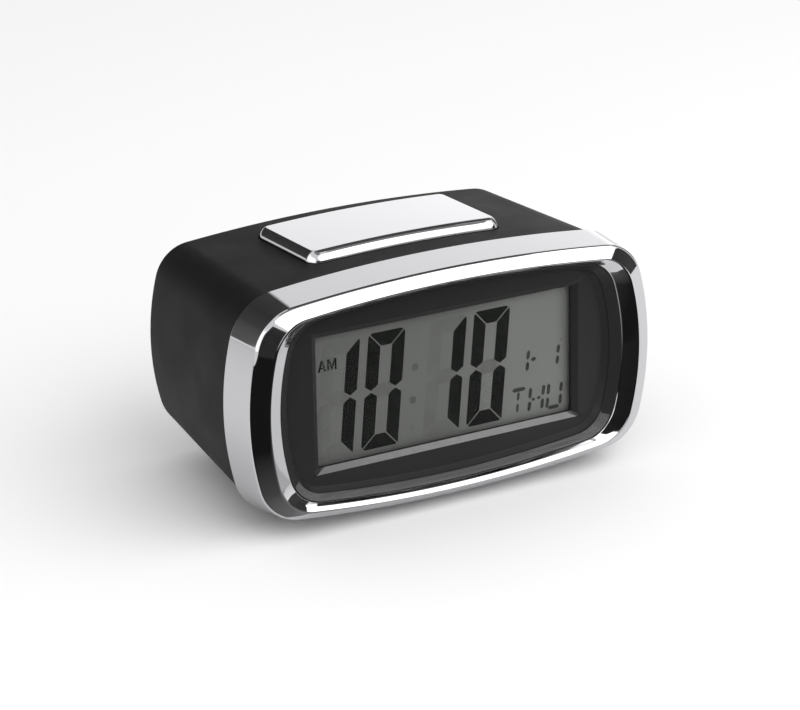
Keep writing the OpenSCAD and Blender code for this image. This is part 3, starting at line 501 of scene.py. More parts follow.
steel = finish("spring_steel", (0.55, 0.55, 0.54), 0.3, 1.0)
varied_sheen(steel, noise(steel, 500, 4, (1, 6, 1)), 0.22, 0.4)

cell_jacket = finish("cell_jacket", (0.03, 0.045, 0.065), 0.35)
varied_sheen(cell_jacket, noise(cell_jacket, 200, 3), 0.3, 0.42)

print_white = finish("print_pale_grey", grey(0.55), 0.6)
varied_colour(print_white, noise(print_white, 2000, 3), [(0.3, grey(0.48)), (0.7, grey(0.6))])


def plain_part(name, colour, roughness, scale, metallic=0.0):
    """Finish for a piece inside the case, with a little wear in tone, sheen and surface."""
    coat = finish(name, colour, roughness, metallic)
    varied_colour(coat, noise(coat, scale, 4), [(0.3, tuple(0.85 * c for c in colour)), (0.7, colour)])
    varied_sheen(coat, noise(coat, scale * 2, 3), roughness * 0.85, min(1, roughness * 1.15))
    grained(coat, noise(coat, scale * 12, 2), 0.12, 0.02)
    return coat


def dress(coat, *nodes):
    """Gives CAD nodes that stay in the scene their finish."""
    for node in nodes:
        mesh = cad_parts[node].data
        mesh.materials.clear()
        mesh.materials.append(coat)


dress(plain_part("diffuser_white", (0.8, 0.81, 0.79), 0.4, 120), "light_guide", "backlight_leds")
dress(plain_part("contact_rubber", (0.55, 0.24, 0.28), 0.8, 400), "zebra_strips")
dress(plain_part("frame_ivory", (0.7, 0.67, 0.52), 0.5, 120), "lcd_frame")
dress(plain_part("board_green", (0.02, 0.13, 0.045), 0.4, 260), "main_board", "snooze_board", "key_board")
dress(plain_part("resin_black", grey(0.012), 0.2, 200), "chip_blob")
dress(plain_part("switch_grey", grey(0.07), 0.4, 300), "snooze_switch", "key_switches", "alarm_switch")
dress(plain_part("disc_brass", (0.6, 0.43, 0.16), 0.3, 300, 1.0), "buzzer_disc")
dress(plain_part("cable_grey", (0.42, 0.42, 0.44), 0.5, 300), "ribbon_cable")
dress(plain_part("lead_red", (0.4, 0.02, 0.015), 0.45, 500), "battery_leads")
dress(plain_part("lead_yellow", (0.5, 0.33, 0.02), 0.45, 500), "snooze_leads")
dress(plain_part("lead_black", grey(0.015), 0.45, 500), "buzzer_leads")
dress(steel, "crystal", "board_screws", "snooze_board_screws", "key_board_screws", "battery_plates")
dress(inner_black, "snooze_carrier", "battery_box", "buzzer_retainer")


# Face

def chrome_ring():
    stations = [
        (crest, 0.4),
        (band_front, 0.75),
        (band_back, 0.25),
        (moved(bore, RING_DEPTH), 0.2),
        (moved(bore, LIP_BACK), 0),
        (moved(mouth, LIP_BACK), 0.2),
        (mouth, 0.3),
        (inner_bulge, 0.4),
    ]
    rings = [outline(o) for o in softened(stations, closed=True)]
    completed(loft("chrome_ring", rings, closed=True), chrome, nodes=["bezel_ring"])


def square_ring(guide, w, h, y):
    """Points of a rectangle in step with the points of an outline, with its corners kept sharp."""
    points = []
    for p in guide:
        k = min(w / 2 / max(abs(p.x), 1e-9), h / 2 / max(abs(p.z), 1e-9))
        points.append(Vector((p.x * k, y, p.z * k)))
    for corner in rectangle(w, h, y):
        i = min(range(len(points)), key=lambda k: (points[k] - corner).length)
        points[i] = corner
    return points


DISH_FOOT_Y, LIP_Y, RIM_Y, VIEW_SLOPE = 4.5, 2.3, 2.2, 1.0
PANEL_BOSS_D, PILOT_D, PILOT_Y = 6.0, 2.4, 17.0


def display_panel():
    stations = [
        (panel_flat, 0.9),
        (moved(inset(dish_step, 0.1), DISH_FOOT_Y), 0.12),
        (dish_step, 0.12),
        (moved(inset(rim, 0.3), LIP_Y), 0.15),
        (moved(rim, RIM_Y), 0.06),
        (moved(rim, LIP_BACK), 0),
        (moved(panel_edge, LIP_BACK), 0),
        (moved(panel_edge, PANEL_BACK), 0),
    ]
    # A station inside the flat lets the edge of the flat be rounded like the others
    inside_flat = between(panel_flat, moved(dish_step, 4.25), -0.5)
    flat_end = panel_flat[0] + 0.5
    sections = softened([(inside_flat, 0)] + stations)[1:]
    sections = [moved(o, min(o[5], PANEL_Y)) if o[0] < flat_end else o for o in sections]
    rings = [outline(o) for o in sections]
    guide = outline(panel_flat)
    rings.append(square_ring(guide, VIEW_W, VIEW_H, PANEL_BACK))
    rings.append(square_ring(guide, VIEW_W, VIEW_H, PANEL_Y + VIEW_SLOPE))
    rings.append(square_ring(guide, VIEW_W + 2 * VIEW_BEVEL, VIEW_H + 2 * VIEW_BEVEL, PANEL_Y))
    panel = loft("display_panel", rings, closed=True)
    fused(panel, *[rod_y(x, z, PANEL_BOSS_D, PANEL_BACK - 0.5, BOSS_MEET_Y) for x, z in SCREWS])
    carved(panel, *[rod_y(x, z, PILOT_D, PILOT_Y, BOSS_MEET_Y + 1, 24) for x, z in SCREWS])
    panel.data.materials.append(panel_black)
    panel.data.materials.append(bevel_painted_highlight)
    panel.data.materials.append(rim_painted_highlight)
    for face in panel.data.polygons:
        x, y, z = (c / MM for c in face.center)
        if z < 0 and face.normal.z > 0.3:
            # Painted highlight: the bottom slope of the cut-out, facing up, takes the reflective grey.
            if PANEL_Y + 0.1 < y < PANEL_Y + VIEW_SLOPE - 0.1 and abs(x) < VIEW_W / 2 + VIEW_BEVEL:
                face.material_index = 1
            # Painted highlight: the bottom slope from the rim into the dish, facing up, takes the paler
            # grey.
            elif RIM_Y - 0.05 < y < dish_step[5]:
                face.material_index = 2
    completed(panel, None, nodes=["front_panel"])


def clear_window():
    pane = bevelled(slab("clear_window", GLASS_W, GLASS_H, PANEL_BACK, WINDOW_BACK), 0.15, 2)
    completed(pane, window_clear, nodes=["display_window"])


# Display: segments leaning to the right, on the front of its glass
DIGIT_W, DIGIT_H, STROKE, SPLIT = 11.1, 31.5, 3.8, 0.32
DIGIT_MID_Z, LEAN = -0.85, math.tan(math.radians(5.6))
DIGITS = [(-25.9, "1"), (-12.35, "0"), (6.32, "1"), (19.68, "0")]
SEGMENTS_OF = {"0": "abcdef", "1": "bc"}
HALF_DAY_W, HALF_DAY_Z = 0.92, 7.35
HALF_DAY = [
    (-37.1, [(0, 0), (1, 3.05), (1.65, 3.05), (2.65, 0), (1.98, 0), (1.325, 2.2), (0.67, 0)]),
    (-37.1, [(0.9, 0.72), (1.75, 0.72), (1.61, 1.2), (1.04, 1.2)]),
    (-34.33, [
        (0, 0), (0, 3.05), (0.85, 3.05), (1.5, 1.15), (2.15, 3.05), (3, 3.05), (3, 0),
        (2.42, 0), (2.42, 2.15), (1.72, 0), (1.28, 0), (0.58, 2.15), (0.58, 0),
    ]),
]


def corner_ends(x, z, sx, sz, radius):
    """The two cut ends that meet at a digit's corner: of the level segment, and of the upright one."""
    centre = (x - sx * radius, z - sz * radius)
    half = min(math.radians(40), SPLIT / 2 / radius)
    slip = SPLIT / math.sqrt(2)

    def arc(first, last):
        turns = [first + (last - first) * i / 6 for i in range(7)]
        offsets = [(sx * radius * math.sin(t), sz * radius * math.cos(t)) for t in turns]
        return [(centre[0] + off_x, centre[1] + off_z) for off_x, off_z in offsets]

    level = arc(0, math.pi / 4 - half) + [(x - sx * (STROKE + slip), z - sz * STROKE)]
    upright = arc(math.pi / 2, math.pi / 4 + half) + [(x - sx * STROKE, z - sz * (STROKE + slip))]
    return level, upright


def digit_segments():
    w, h, mid = DIGIT_W, DIGIT_H, DIGIT_H / 2
    ends = {
        (1, 1): corner_ends(w, h, 1, 1, 1.7),
        (-1, 1): corner_ends(0, h, -1, 1, 1.3),
        (1, -1): corner_ends(w, 0, 1, -1, 0.9),
        (-1, -1): corner_ends(0, 0, -1, -1, 1.7),
    }

    def level(sz):
        return list(reversed(ends[-1, sz][0])) + ends[1, sz][0]

    def upright(sx, sz):
        outer, inner = (w, w - STROKE) if sx > 0 else (0, STROKE)
        tip, shoulder = mid + sz * 0.25, mid + sz * 1.5
        return ends[sx, sz][1] + [(inner, shoulder), ((outer + inner) / 2, tip), (outer, shoulder)]

    bar = STROKE / 2
    middle = [
        (bar + 0.5, mid), (bar + 1.9, mid + bar), (w - bar - 1.9, mid + bar),
        (w - bar - 0.5, mid), (w - bar - 1.9, mid - bar), (bar + 1.9, mid - bar),
    ]
    return {
        "a": level(1), "d": level(-1), "g": middle,
        "b": upright(1, 1), "c": upright(1, -1), "e": upright(-1, -1), "f": upright(-1, 1),
    }


def leaned(shape, right_x):
    return [
        (right_x - DIGIT_W + x + (z - DIGIT_H / 2) * LEAN, DIGIT_MID_Z + z - DIGIT_H / 2) for x, z in shape
    ]


def dash(first, last, width):
    """Short stroke with pointed ends."""
    a, b = Vector(first), Vector(last)
    u = (b - a).normalized()
    v = Vector((-u.y, u.x)) * width * 0.65
    s = u * width * 0.7
    return [tuple(p) for p in (a, a + s + v, b - s + v, b, b - s - v, a + s - v)]


def dot(x, z, r, n=20):
    turns = [2 * math.pi * i / n for i in range(n)]
    return [(x + r * math.cos(t), z + r * math.sin(t)) for t in turns]


def display():
    plate = bevelled(slab("display_glass", GLASS_W, GLASS_H, GLASS_Y, GLASS_BACK), 0.15, 2)
    completed(plate, lcd_grey, nodes=["lcd_glass"])
    shapes = digit_segments()
    lit, unlit = [], []
    for right_x, figure in DIGITS:
        for key, shape in shapes.items():
            (lit if key in SEGMENTS_OF[figure] else unlit).append(leaned(shape, right_x))
    unlit.append(dot(-9.49, -13.01, 0.7))
    completed(flat_shapes("display_digits", lit, INK_Y, INK_T), lcd_ink)
    completed(flat_shapes("display_unlit_segments", unlit, INK_Y, INK_T), lcd_faint_ink)
    dots = [dot(-8.26, 3.33, 1.05), dot(-9.1, -5.6, 1.05)]
    completed(flat_shapes("display_unlit_dots", dots, INK_Y, INK_T), lcd_dim_ink)
    small = [
        dash((21.55, -9.3), (25.9, -9.3), 0.85), dash((23.66, -9.95), (23.37, -12.4), 0.62),
        dash((23.36, -13.1), (23.1, -15.6), 0.62),
        dash((27.48, -9.4), (27.15, -12.6), 0.8), dash((27.2, -13.2), (26.75, -16.1), 0.8),
        dash((27.5, -12.9), (28.9, -12.9), 0.7), dash((29.3, -12.75), (30.7, -12.75), 0.7),
        dash((31.7, -9.4), (31.25, -12.4), 0.8), dash((31.25, -13.1), (30.9, -16.1), 0.8),
        dash((33.25, -9.4), (32.95, -12.6), 0.8), dash((32.9, -13.2), (32.5, -16.3), 0.8),
        dash((32.8, -16.3), (36.5, -16.3), 0.8),
        dash((37.3, -9.6), (36.95, -12.4), 0.8), dash((36.95, -13.0), (36.7, -16.0), 0.8),
        dash((26.95, 1.2), (26.5, -1.5), 0.8), dash((26.55, -1.95), (26.3, -4.6), 0.8),
        dash((27.5, -1.65), (29.3, -1.55), 0.8),
        dash((36.45, 1.1), (36.05, -1.4), 0.8), dash((36.1, -1.95), (35.8, -4.5), 0.8),
    ]
    completed(flat_shapes("display_small_letters", small, INK_Y, INK_T), lcd_small_ink)
    faint = [dash((27.7, 2.0), (28.6, 1.85), 0.7), dash((36.6, 2.2), (37.6, 2.2), 0.6)]
    completed(flat_shapes("display_small_unlit", faint, INK_Y, INK_T), lcd_faint_ink)
    half_day = [[(x0 + x * HALF_DAY_W, z + HALF_DAY_Z) for x, z in shape] for x0, shape in HALF_DAY]
    completed(flat_shapes("display_half_day", half_day, INK_Y, INK_T), lcd_ink)


# Body. Bosses on the rear wall root in it, and what cuts a wall runs past it.
ROOT, PAST_REAR, PAST_ROOF = INNER_Y + 0.5, 69.0, 36.0
KEY_POST_Y, SOUND_CUP_Y, PAST_CUP = 59.2, 61.1, 50.0
SOUND_SEAT_D, SOUND_BORE_D, SOUND_HOLE_D, SOUND_RING_R = 14.3, 11.4, 1.5, 3
SLOT_W, SLOT_H, SNOOZE_GAP, DOOR_GAP = 9.5, 4.5, 0.35, 0.6
BOSS_D, POST_D, KEY_POST_D, SOUND_CUP_D, FOOT_SEAT_D, FOOT_D = 8.0, 5.0, 4.0, 16.9, 13.0, 10.0
KEY_POSTS, SNOOZE_POSTS = (-26.0, 16.75), (-SNOOZE_POST_X, SNOOZE_POST_X)


def body_walls():
    shoulder = RING_DEPTH + 1.5
    spigot = moved(panel_edge, PANEL_BACK)
    sections = [
        inset(body_at(INNER_Y), WALL),
        inset(body_at(shoulder), WALL),
        moved(inset(spigot, 1.5), shoulder),
        inset(spigot, 1.5),
        spigot,
        moved(spigot, RING_DEPTH),
        inset(body_front, 0.15),
        moved(body_front, RING_DEPTH + 0.2),
    ]
    for i in range(11):
        t = math.pi / 2 * i / 10
        y = BODY_DEPTH - REAR_ROUND * (1 - math.sin(t))
        sections.append(inset(body_at(y), REAR_ROUND * (1 - math.cos(t))))
    return loft("body", [outline(o) for o in sections])


def row_rod(x, y, d, first, last):
    """Upright rod given where the clock stands, brought square to the face."""
    return placed(rod_z(x, y, d, first, last, 48), STAND.inverted())


def body():
    shell = body_walls()
    post_top = roof(SNOOZE_POST_X, SNOOZE_Y) - WALL / 2
    feet = [(side * x, y, top) for x, y, top in FEET.values() for side in (-1, 1)]
    bosses = [rod_y(x, z, BOSS_D, BOSS_MEET_Y, ROOT) for x, z in SCREWS]
    bosses += [rod_z(x, SNOOZE_Y, POST_D, SNOOZE_BOARD_Z, post_top) for x in SNOOZE_POSTS]
    bosses += [rod_y(x, KEY_Z, KEY_POST_D, KEY_POST_Y, ROOT, 32) for x in KEY_POSTS]
    bosses += [rod_y(SOUND_X, SOUND_Z, SOUND_CUP_D, SOUND_CUP_Y, ROOT, 64)]
    bosses += [row_rod(x, y, FOOT_SEAT_D, top - 0.2, top + 1) for x, y, top in feet]
    fused(shell, *bosses)
    for x, z in SCREWS:
        well = [(1.45, BOSS_MEET_Y - 1), (1.45, SCREW_SEAT_Y), (2.8, SCREW_SEAT_Y)]
        well += [(2.8, BODY_DEPTH - 0.3), (3.1, BODY_DEPTH), (3.1, PAST_REAR)]
        carved(shell, turned("well", well, at(x, 0, z) @ ALONG_Y))
    for x in KEYS.values():
        hole = [(3.75, INNER_Y - 1), (3.75, BODY_DEPTH - 0.25), (4.0, BODY_DEPTH), (4.0, PAST_REAR)]
        carved(shell, turned("hole", hole, at(x, 0, KEY_Z) @ ALONG_Y))
    slot = [rectangle(SLOT_W + g, SLOT_H + g, y, KEY_Z, SLIDER_X)
            for y, g in ((INNER_Y - 1, 0), (BODY_DEPTH - 0.25, 0), (BODY_DEPTH, 0.5), (PAST_REAR, 0.5))]
    opening = [rectangle(DOOR_W + DOOR_GAP + g, DOOR_H + DOOR_GAP + g, y, DOOR_Z)
               for y, g in ((INNER_Y - 1, 0), (BODY_DEPTH - 0.2, 0), (BODY_DEPTH, 0.4), (PAST_REAR, 0.4))]
    snooze_hole = [bar_ring(-SNOOZE_GAP, 0, z) for z in (SKIRT_Z, PAST_ROOF)]
    carved(shell, loft("slot", slot), loft("opening", opening), loft("snooze_hole", snooze_hole))
    carved(
        shell,
        rod_y(SOUND_X, SOUND_Z, SOUND_SEAT_D, PAST_CUP, INNER_Y - 1.5, 64),
        rod_y(SOUND_X, SOUND_Z, SOUND_BORE_D, PAST_CUP, INNER_Y, 64),
    )
    turns = [math.radians(a) for a in range(0, 360, 60)]
    ring = [(SOUND_RING_R * math.cos(t), SOUND_RING_R * math.sin(t)) for t in turns]
    sound_holes = [(SOUND_X + x, SOUND_Z + z) for x, z in [(0, 0)] + ring]
    carved(shell, *[rod_y(x, z, SOUND_HOLE_D, INNER_Y - 1, PAST_REAR, 20) for x, z in sound_holes])
    thread_d, thread_end = 2.0, SNOOZE_BOARD_Z + 7
    carved(shell, *[rod_z(x, SNOOZE_Y, thread_d, SNOOZE_BOARD_Z - 1, thread_end, 16) for x in SNOOZE_POSTS])
    carved(shell, *[rod_y(x, KEY_Z, thread_d, KEY_POST_Y - 1, INNER_Y, 16) for x in KEY_POSTS])
    carved(shell, *[row_rod(x, y, FOOT_D, -1, top) for x, y, top in feet])
    completed(shell, shell_black, nodes=["body_shell"])


# Snooze bar: a short upright foot, then three curves of radius, first and last angle, up to the plate
BAR_FOOT = [(0, -1.0), (0, 0.07), (0.085, 0.37)]
BAR_ROLL = [(3.7, 20, 50), (5.9, 50, 60), (1.6, 60, 90)]
BAR_PLATE = (5, 9, 13, SNOOZE_LEN / 2)
BAR_CORNER_STEPS, BAR_EDGE_STEPS, BAR_WALL, BAR_PLATE_T = 10, 28, 3.2, 1.5
BAR_END_SHARE = 0.65


def bar_ring(draw_in, lifted, flat_z=None):
    """Points round the bar, drawn in and lifted above the body, or flat at a height. The two ends
    are drawn in by a share of what the front and the rear are."""
    w, h = SNOOZE_W / 2 - draw_in * BAR_END_SHARE, SNOOZE_LEN / 2 - draw_in
    r = min(max(SNOOZE_R - draw_in, 0.4), h)
    turns = [math.pi / 2 * i / BAR_CORNER_STEPS for i in range(BAR_CORNER_STEPS + 1)]
    half = [(r - w - r * math.cos(t), h - r + r * math.sin(t)) for t in turns]
    half += [((r - w) * (1 - 2 * i / BAR_EDGE_STEPS), h) for i in range(1, BAR_EDGE_STEPS)]
    half += [(w - r + r * math.sin(t), h - r + r * math.cos(t)) for t in turns]
    ring = []
    for x, y in half + [(x, -y) for x, y in reversed(half)]:
        z = roof(x, SNOOZE_Y + y) + lifted if flat_z is None else flat_z
        ring.append(Vector((x, SNOOZE_Y + y, z)))
    return ring


def rolled_edge():
    """How far the bar is drawn in and lifted, from its foot to the top of its roll."""
    steps = list(BAR_FOOT)
    for radius, first, last in BAR_ROLL:
        drawn, lifted = steps[-1]
        t0 = math.radians(first)
        for i in range(1, 7):
            t = math.radians(first + (last - first) * i / 6)
            further_in = radius * (math.cos(t0) - math.cos(t))
            further_up = radius * (math.sin(t) - math.sin(t0))
            steps.append((drawn + further_in, lifted + further_up))
    scale = SNOOZE_LIFT / steps[-1][1]
    return [(drawn, lifted if lifted < 0.1 else lifted * scale) for drawn, lifted in steps]


def snooze_bar():
    """Plate that rolls over to a short upright foot, hollow underneath."""
    rings = [bar_ring(0, 0, SKIRT_Z)] + [bar_ring(drawn, lifted) for drawn, lifted in rolled_edge()]
    rings += [bar_ring(drawn, SNOOZE_LIFT) for drawn in BAR_PLATE]
    bar = loft("snooze_cap", rings, last_cap=False)
    w, h = SNOOZE_W / 2 - BAR_WALL, SNOOZE_LEN / 2 - BAR_WALL
    top = roof(SNOOZE_W / 2, SNOOZE_Y + SNOOZE_LEN / 2) + SNOOZE_LIFT - BAR_PLATE_T
    corners = [(w, h), (-w, h), (-w, -h), (w, -h)]
    hollow = [[Vector((x, SNOOZE_Y + y, z)) for x, y in corners] for z in (SKIRT_Z - 1, top)]
    carved(bar, loft("hollow", hollow))
    completed(bar, chrome, "snooze", nodes=["snooze_bar"])


# Rear controls

def push_buttons():
    stem_r, flange_r, cap_r = 1.5, 4.75, 3.5
    profile = [(stem_r, STEM_FRONT), (stem_r, FLANGE_FRONT), (flange_r, FLANGE_FRONT)]
    profile += [(flange_r, FLANGE_BACK), (cap_r, FLANGE_BACK), (cap_r, KEY_END - 0.5)]
    profile += [(3.4, KEY_END - 0.2), (3.2, KEY_END - 0.03), (3.0, KEY_END)]
    profile += [(2.7, KEY_END - 0.04), (1.8, KEY_END - 0.2), (0.9, KEY_END - 0.27), (0.2, KEY_END - 0.28)]
    for use, x in KEYS.items():
        cap = turned(use + "_cap", profile, at(x, 0, KEY_Z) @ ALONG_Y)
        completed(cap, button_grey, use + "_button", nodes=[use + "_button"])


def alarm_knob():
    x = SLIDER_REST_X
    knob = bevelled(slab("alarm_knob", 5, 4, FLANGE_FRONT + 0.4, KEY_END, KEY_Z, x), 0.3)
    carved(knob, *[slab("groove", 0.8, 5, KEY_END - 0.4, KEY_END + 1, KEY_Z, x + i * 1.0) for i in (-1, 1)])
    fused(
        knob,
        slab("flange", 15.5, 6.5, FLANGE_FRONT, FLANGE_BACK, KEY_Z, x),
        slab("pin", 2, 2, STEM_FRONT, FLANGE_FRONT + 0.5, KEY_Z, x),
    )
    completed(knob, button_grey, "alarm_slider", nodes=["alarm_slider"])


LABEL_H, SMALL_LABEL_H, LABEL_T, LID_LABEL_H, LID_LABEL_T = 1.5, 1.4, 0.08, 1.6, 0.1


def door():
    lid = bevelled(slab("battery_lid", DOOR_W, DOOR_H, INNER_Y, BODY_DEPTH, DOOR_Z), 0.35)
    top = DOOR_Z + DOOR_H / 2
    scoop_r, scoop_w = 9, 14
    scoop_place = at(0, BODY_DEPTH + 8.1, top - 4) @ Matrix.Rotation(math.pi / 2, 4, "Y")
    carved(lid, turned("scoop", [(scoop_r, -scoop_w / 2), (scoop_r, scoop_w / 2)], scoop_place, 96))
    completed(lid, shell_black, "battery_door", nodes=["battery_door"])
    triangle = [(-1.6, top - 10.2), (1.6, top - 10.2), (0, top - 8.2)]
    completed(flat_shapes("lid_arrow", [triangle], BODY_DEPTH, LID_LABEL_T), print_white, "battery_door")
    word = lettering("lid_open", "OPEN", (0, BODY_DEPTH, top - 12.4), LID_LABEL_H, LID_LABEL_T)
    completed(word, print_white, "battery_door")


def labels():
    marks = [("label_" + use, use.upper(), x, -5.9, LABEL_H) for use, x in KEYS.items()]
    marks.append(("label_off", "OFF", 26.4, -4.6, SMALL_LABEL_H))
    marks.append(("label_on", "ON", 33.6, -4.6, SMALL_LABEL_H))
    marks.append(("label_alarm", "ALARM", SLIDER_X, 4.4, LABEL_H))
    for name, words, x, above, height in marks:
        word = lettering(name, words, (x, BODY_DEPTH, KEY_Z + above), height, LABEL_T)
        completed(word, print_white)


def case_screws():
    shank_r, head_r, seat, end = 1.15, 2.5, SCREW_SEAT_Y, SCREW_SEAT_Y + 2
    profile = [(0.4, 18), (shank_r, 19.2), (shank_r, seat), (head_r, seat)]
    profile += [(head_r, end - 0.8), (2.3, end - 0.3), (1.8, end - 0.05), (0.6, end)]
    first = turned("case_screw", profile, ALONG_Y, 40)
    carved(first, slab("slit", 2.8, 0.6, end - 1, end + 1), slab("slit", 0.6, 2.8, end - 1, end + 1))
    screws = []
    for x, z in SCREWS:
        only(first)
        bpy.ops.object.duplicate(linked=False)
        screws.append(placed(bpy.context.object, at(x, 0, z)))
    bpy.data.objects.remove(first, do_unlink=True)
    completed(joined("case_screws_visible", screws), steel, nodes=["case_screws"])


def feet():
    for which, (x, y, top) in FEET.items():
        profile = [(4.2, 0.35), (4.3, 0.1), (4.5, 0), (4.7, 0.05), (4.92, 0.25)]
        profile += [(FOOT_D / 2, 0.6), (FOOT_D / 2, top)]
        pair = [turned("pad", profile, at(side * x, y, 0)) for side in (-1, 1)]
        pads = joined(which + "_pads", pair)
        completed(pads, foot_rubber, nodes=[which + "_feet"], stand=False)


# Battery bay

def cells():
    half = CELL_LEN / 2
    profile = [(0.5, 0.25 - half), (4.3, 0.25 - half), (4.5, 0.05 - half), (4.8, -half), (5.1, 0.1 - half)]
    profile += [(CELL_R, 0.3 - half), (CELL_R, half - 1.3), (5.1, half - 1.05), (4.8, half - 1.0)]
    profile += [(4.5, half - 1.05), (4.3, half - 1.3), (1.9, half - 1.3)]
    profile += [(1.89, half - 0.2), (1.7, half), (0.3, half)]
    for which, z, side in (("upper", CELL_Z, -1), ("lower", -CELL_Z, 1)):
        turn = Matrix.Rotation(side * math.pi / 2, 4, "Y")
        cell = turned(which + "_cell", profile, at(0, CELL_Y, DOOR_Z + z) @ turn, 64)
        cell.data.materials.append(cell_jacket)
        cell.data.materials.append(steel)
        for face in cell.data.polygons:
            off = math.hypot(face.center.y / MM - CELL_Y, face.center.z / MM - DOOR_Z - z)
            face.material_index = 1 if off < 4.6 else 0
        completed(cell, None, nodes=["battery_cells"])


def coil(name, radius, wire, length, turns, place):
    """Round wire wound about z from 0 to its length."""
    bpy.ops.object.select_all(action="DESELECT")
    bpy.ops.mesh.primitive_circle_add(
        vertices=12, radius=wire / 2 * MM, fill_type="NOTHING",
        location=((radius - wire / 2) * MM, 0, wire / 2 * MM), rotation=(math.pi / 2, 0, 0),
    )
    piece = bpy.context.object
    piece.name = name
    bpy.ops.object.transform_apply(location=True, rotation=True, scale=True)
    bpy.ops.object.modifier_add(type="SCREW")
    wind = piece.modifiers[-1]
    wind.axis, wind.angle, wind.screw_offset = "Z", 2 * math.pi * turns, (length - wire) * MM
    wind.steps = wind.render_steps = int(32 * turns)
    bpy.ops.object.modifier_apply(modifier=wind.name)
    bpy.ops.object.mode_set(mode="EDIT")
    bpy.ops.mesh.select_all(action="SELECT")
    bpy.ops.mesh.fill_holes(sides=0)
    bpy.ops.object.mode_set(mode="OBJECT")
    return placed(tidied(piece), place)


TAB_X, COIL_X, RETURN_X = 25.05, 24.85, 18.0


def contact_springs():
    parts = []
    for z, side in ((CELL_Z, 1), (-CELL_Z, -1)):
        plate = slab("tab", 0.4, 8, CELL_Y - 4, CELL_Y + 4, DOOR_Z + z, side * TAB_X)
        parts.append(bevelled(plate, 0.1, 2))
        turn = Matrix.Rotation(-side * math.pi / 2, 4, "Y")
        place = at(side * COIL_X, CELL_Y, DOOR_Z + z) @ turn
        parts.append(coil("wound", radius=3.2, wire=0.6, length=2.6, turns=2.5, place=place))
    completed(joined("contact_springs", parts), steel, nodes=["battery_springs"])


def return_springs():
    for which, side in (("left", -1), ("right", 1)):
        seat = at(side * RETURN_X, SNOOZE_Y, SNOOZE_BOARD_Z)
        spring = coil(which + "_return_spring", radius=2.6, wire=0.6, length=8.0, turns=6, place=seat)
        completed(spring, steel, nodes=["snooze_springs"])
        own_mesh(spring)


chrome_ring()
display_panel()
clear_window()
display()
body()
snooze_bar()
push_buttons()
alarm_knob()
door()
labels()
case_screws()
feet()
cells()
contact_springs()
return_springs()


# Studio

def floor():
    bpy.ops.object.select_all(action="DESELECT")
    bpy.ops.mesh.primitive_plane_add(size=6, location=(0, 0, -0.00005))
    ground = bpy.context.object
    ground.name = "studio_floor"
    coat = finish("studio_floor", grey(0.96), 0.9, Specular_IOR_Level=0.0)
    varied_colour(coat, noise(coat, 3, 2), [(0.2, grey(0.955)), (0.8, grey(0.97))])
    ground.data.materials.append(coat)


FACE_MID, STUDIO_R = Vector((0, -0.03, 0.045)), 0.9


def towards(azimuth, elevation):
    """Direction from the clock. Azimuth runs from the front towards the right, in degrees."""
    a, e = math.radians(azimuth), math.radians(elevation)
    return Vector((math.sin(a) * math.cos(e), -math.cos(a) * math.cos(e), math.sin(e)))


def polished_only(card):
    """Keeps a card out of everything but the reflections in polished surfaces."""
    card.visible_camera = card.visible_diffuse = card.visible_shadow = card.visible_transmission = False


def grid_card(name, across, along):
    bpy.ops.object.select_all(action="DESELECT")
    bpy.ops.mesh.primitive_grid_add(x_subdivisions=across, y_subdivisions=along, size=2)
    card = bpy.context.object
    card.name = name
    return card


def bent_card(name, azimuths, elevations):
    """Card round the clock between two azimuths and two elevations."""
    card = grid_card(name, 24, 8)
    for v in card.data.vertices:
        a = azimuths[0] + (azimuths[1] - azimuths[0]) * (v.co.x + 1) / 2
        e = elevations[0] + (elevations[1] - elevations[0]) * (v.co.y + 1) / 2
        v.co = FACE_MID + STUDIO_R * towards(a, e)
    return card


def near_flag():
    """Small dark card close to the face, which darkens the right inner bevel."""
    card = grid_card("near_flag", 8, 8)
    middle, half_w, half_h = Vector((0.0005, -0.135, 0.0635)), 0.0455, 0.0615
    for v in card.data.vertices:
        v.co = middle + Vector((half_w * v.co.x, 0, half_h * v.co.y))
    coat = finish("near_flag", grey(0.02), 0.9, Specular_IOR_Level=0.0)
    varied_colour(coat, noise(coat, 30, 2), [(0.3, grey(0.015)), (0.7, grey(0.03))])
    card.data.materials.append(coat)
    polished_only(card)


def flag(name, azimuths, elevations, shade, fades=None):
    """Dark or grey bent card. Fades are tones along it, each with its place from 0 to 1."""
    card = bent_card(name, azimuths, elevations)
    coat = finish(name, grey(shade), 0.9, Specular_IOR_Level=0.0)
    if fades:
        source, tones = coordinate(coat, "UV", "X"), fades
    else:
        source, tones = noise(coat, 3, 2), ((0.3, shade * 0.8), (0.7, shade * 1.2))
    varied_colour(coat, source, [(place, grey(tone)) for place, tone in tones])
    card.data.materials.append(coat)
    polished_only(card)


def glow(name, azimuths, elevations, low, high):
    """Bent card that shines in polished surfaces, from its lower to its upper edge."""
    card = bent_card(name, azimuths, elevations)
    coat = finish(name, grey(0), 0.9, Specular_IOR_Level=0.0)
    tree = coat.node_tree
    shader = tree.nodes["Principled BSDF"]
    shader.inputs["Emission Color"].default_value = (1, 1, 1, 1)
    heights = [(FACE_MID + STUDIO_R * towards(0, e)).z for e in elevations]
    strength = spread(coat, coordinate(coat, "Object", "Z"), heights, (low, high))
    tree.links.new(strength, shader.inputs["Emission Strength"])
    card.data.materials.append(coat)
    polished_only(card)


APRON_FOOT, APRON_RISE = Vector((0, -0.033, 0)), Vector((0, 0, 0.0004))
APRON_NEAR, APRON_GROWTH, APRON_FADE = 0.009, 300, 0.1
APRON_TONES = ((0.09, 0.9), (0.2, 0.8), (0.35, 0.6), (0.5, 0.22), (0.65, 0.09), (0.85, 0.04), (1, 0.012))


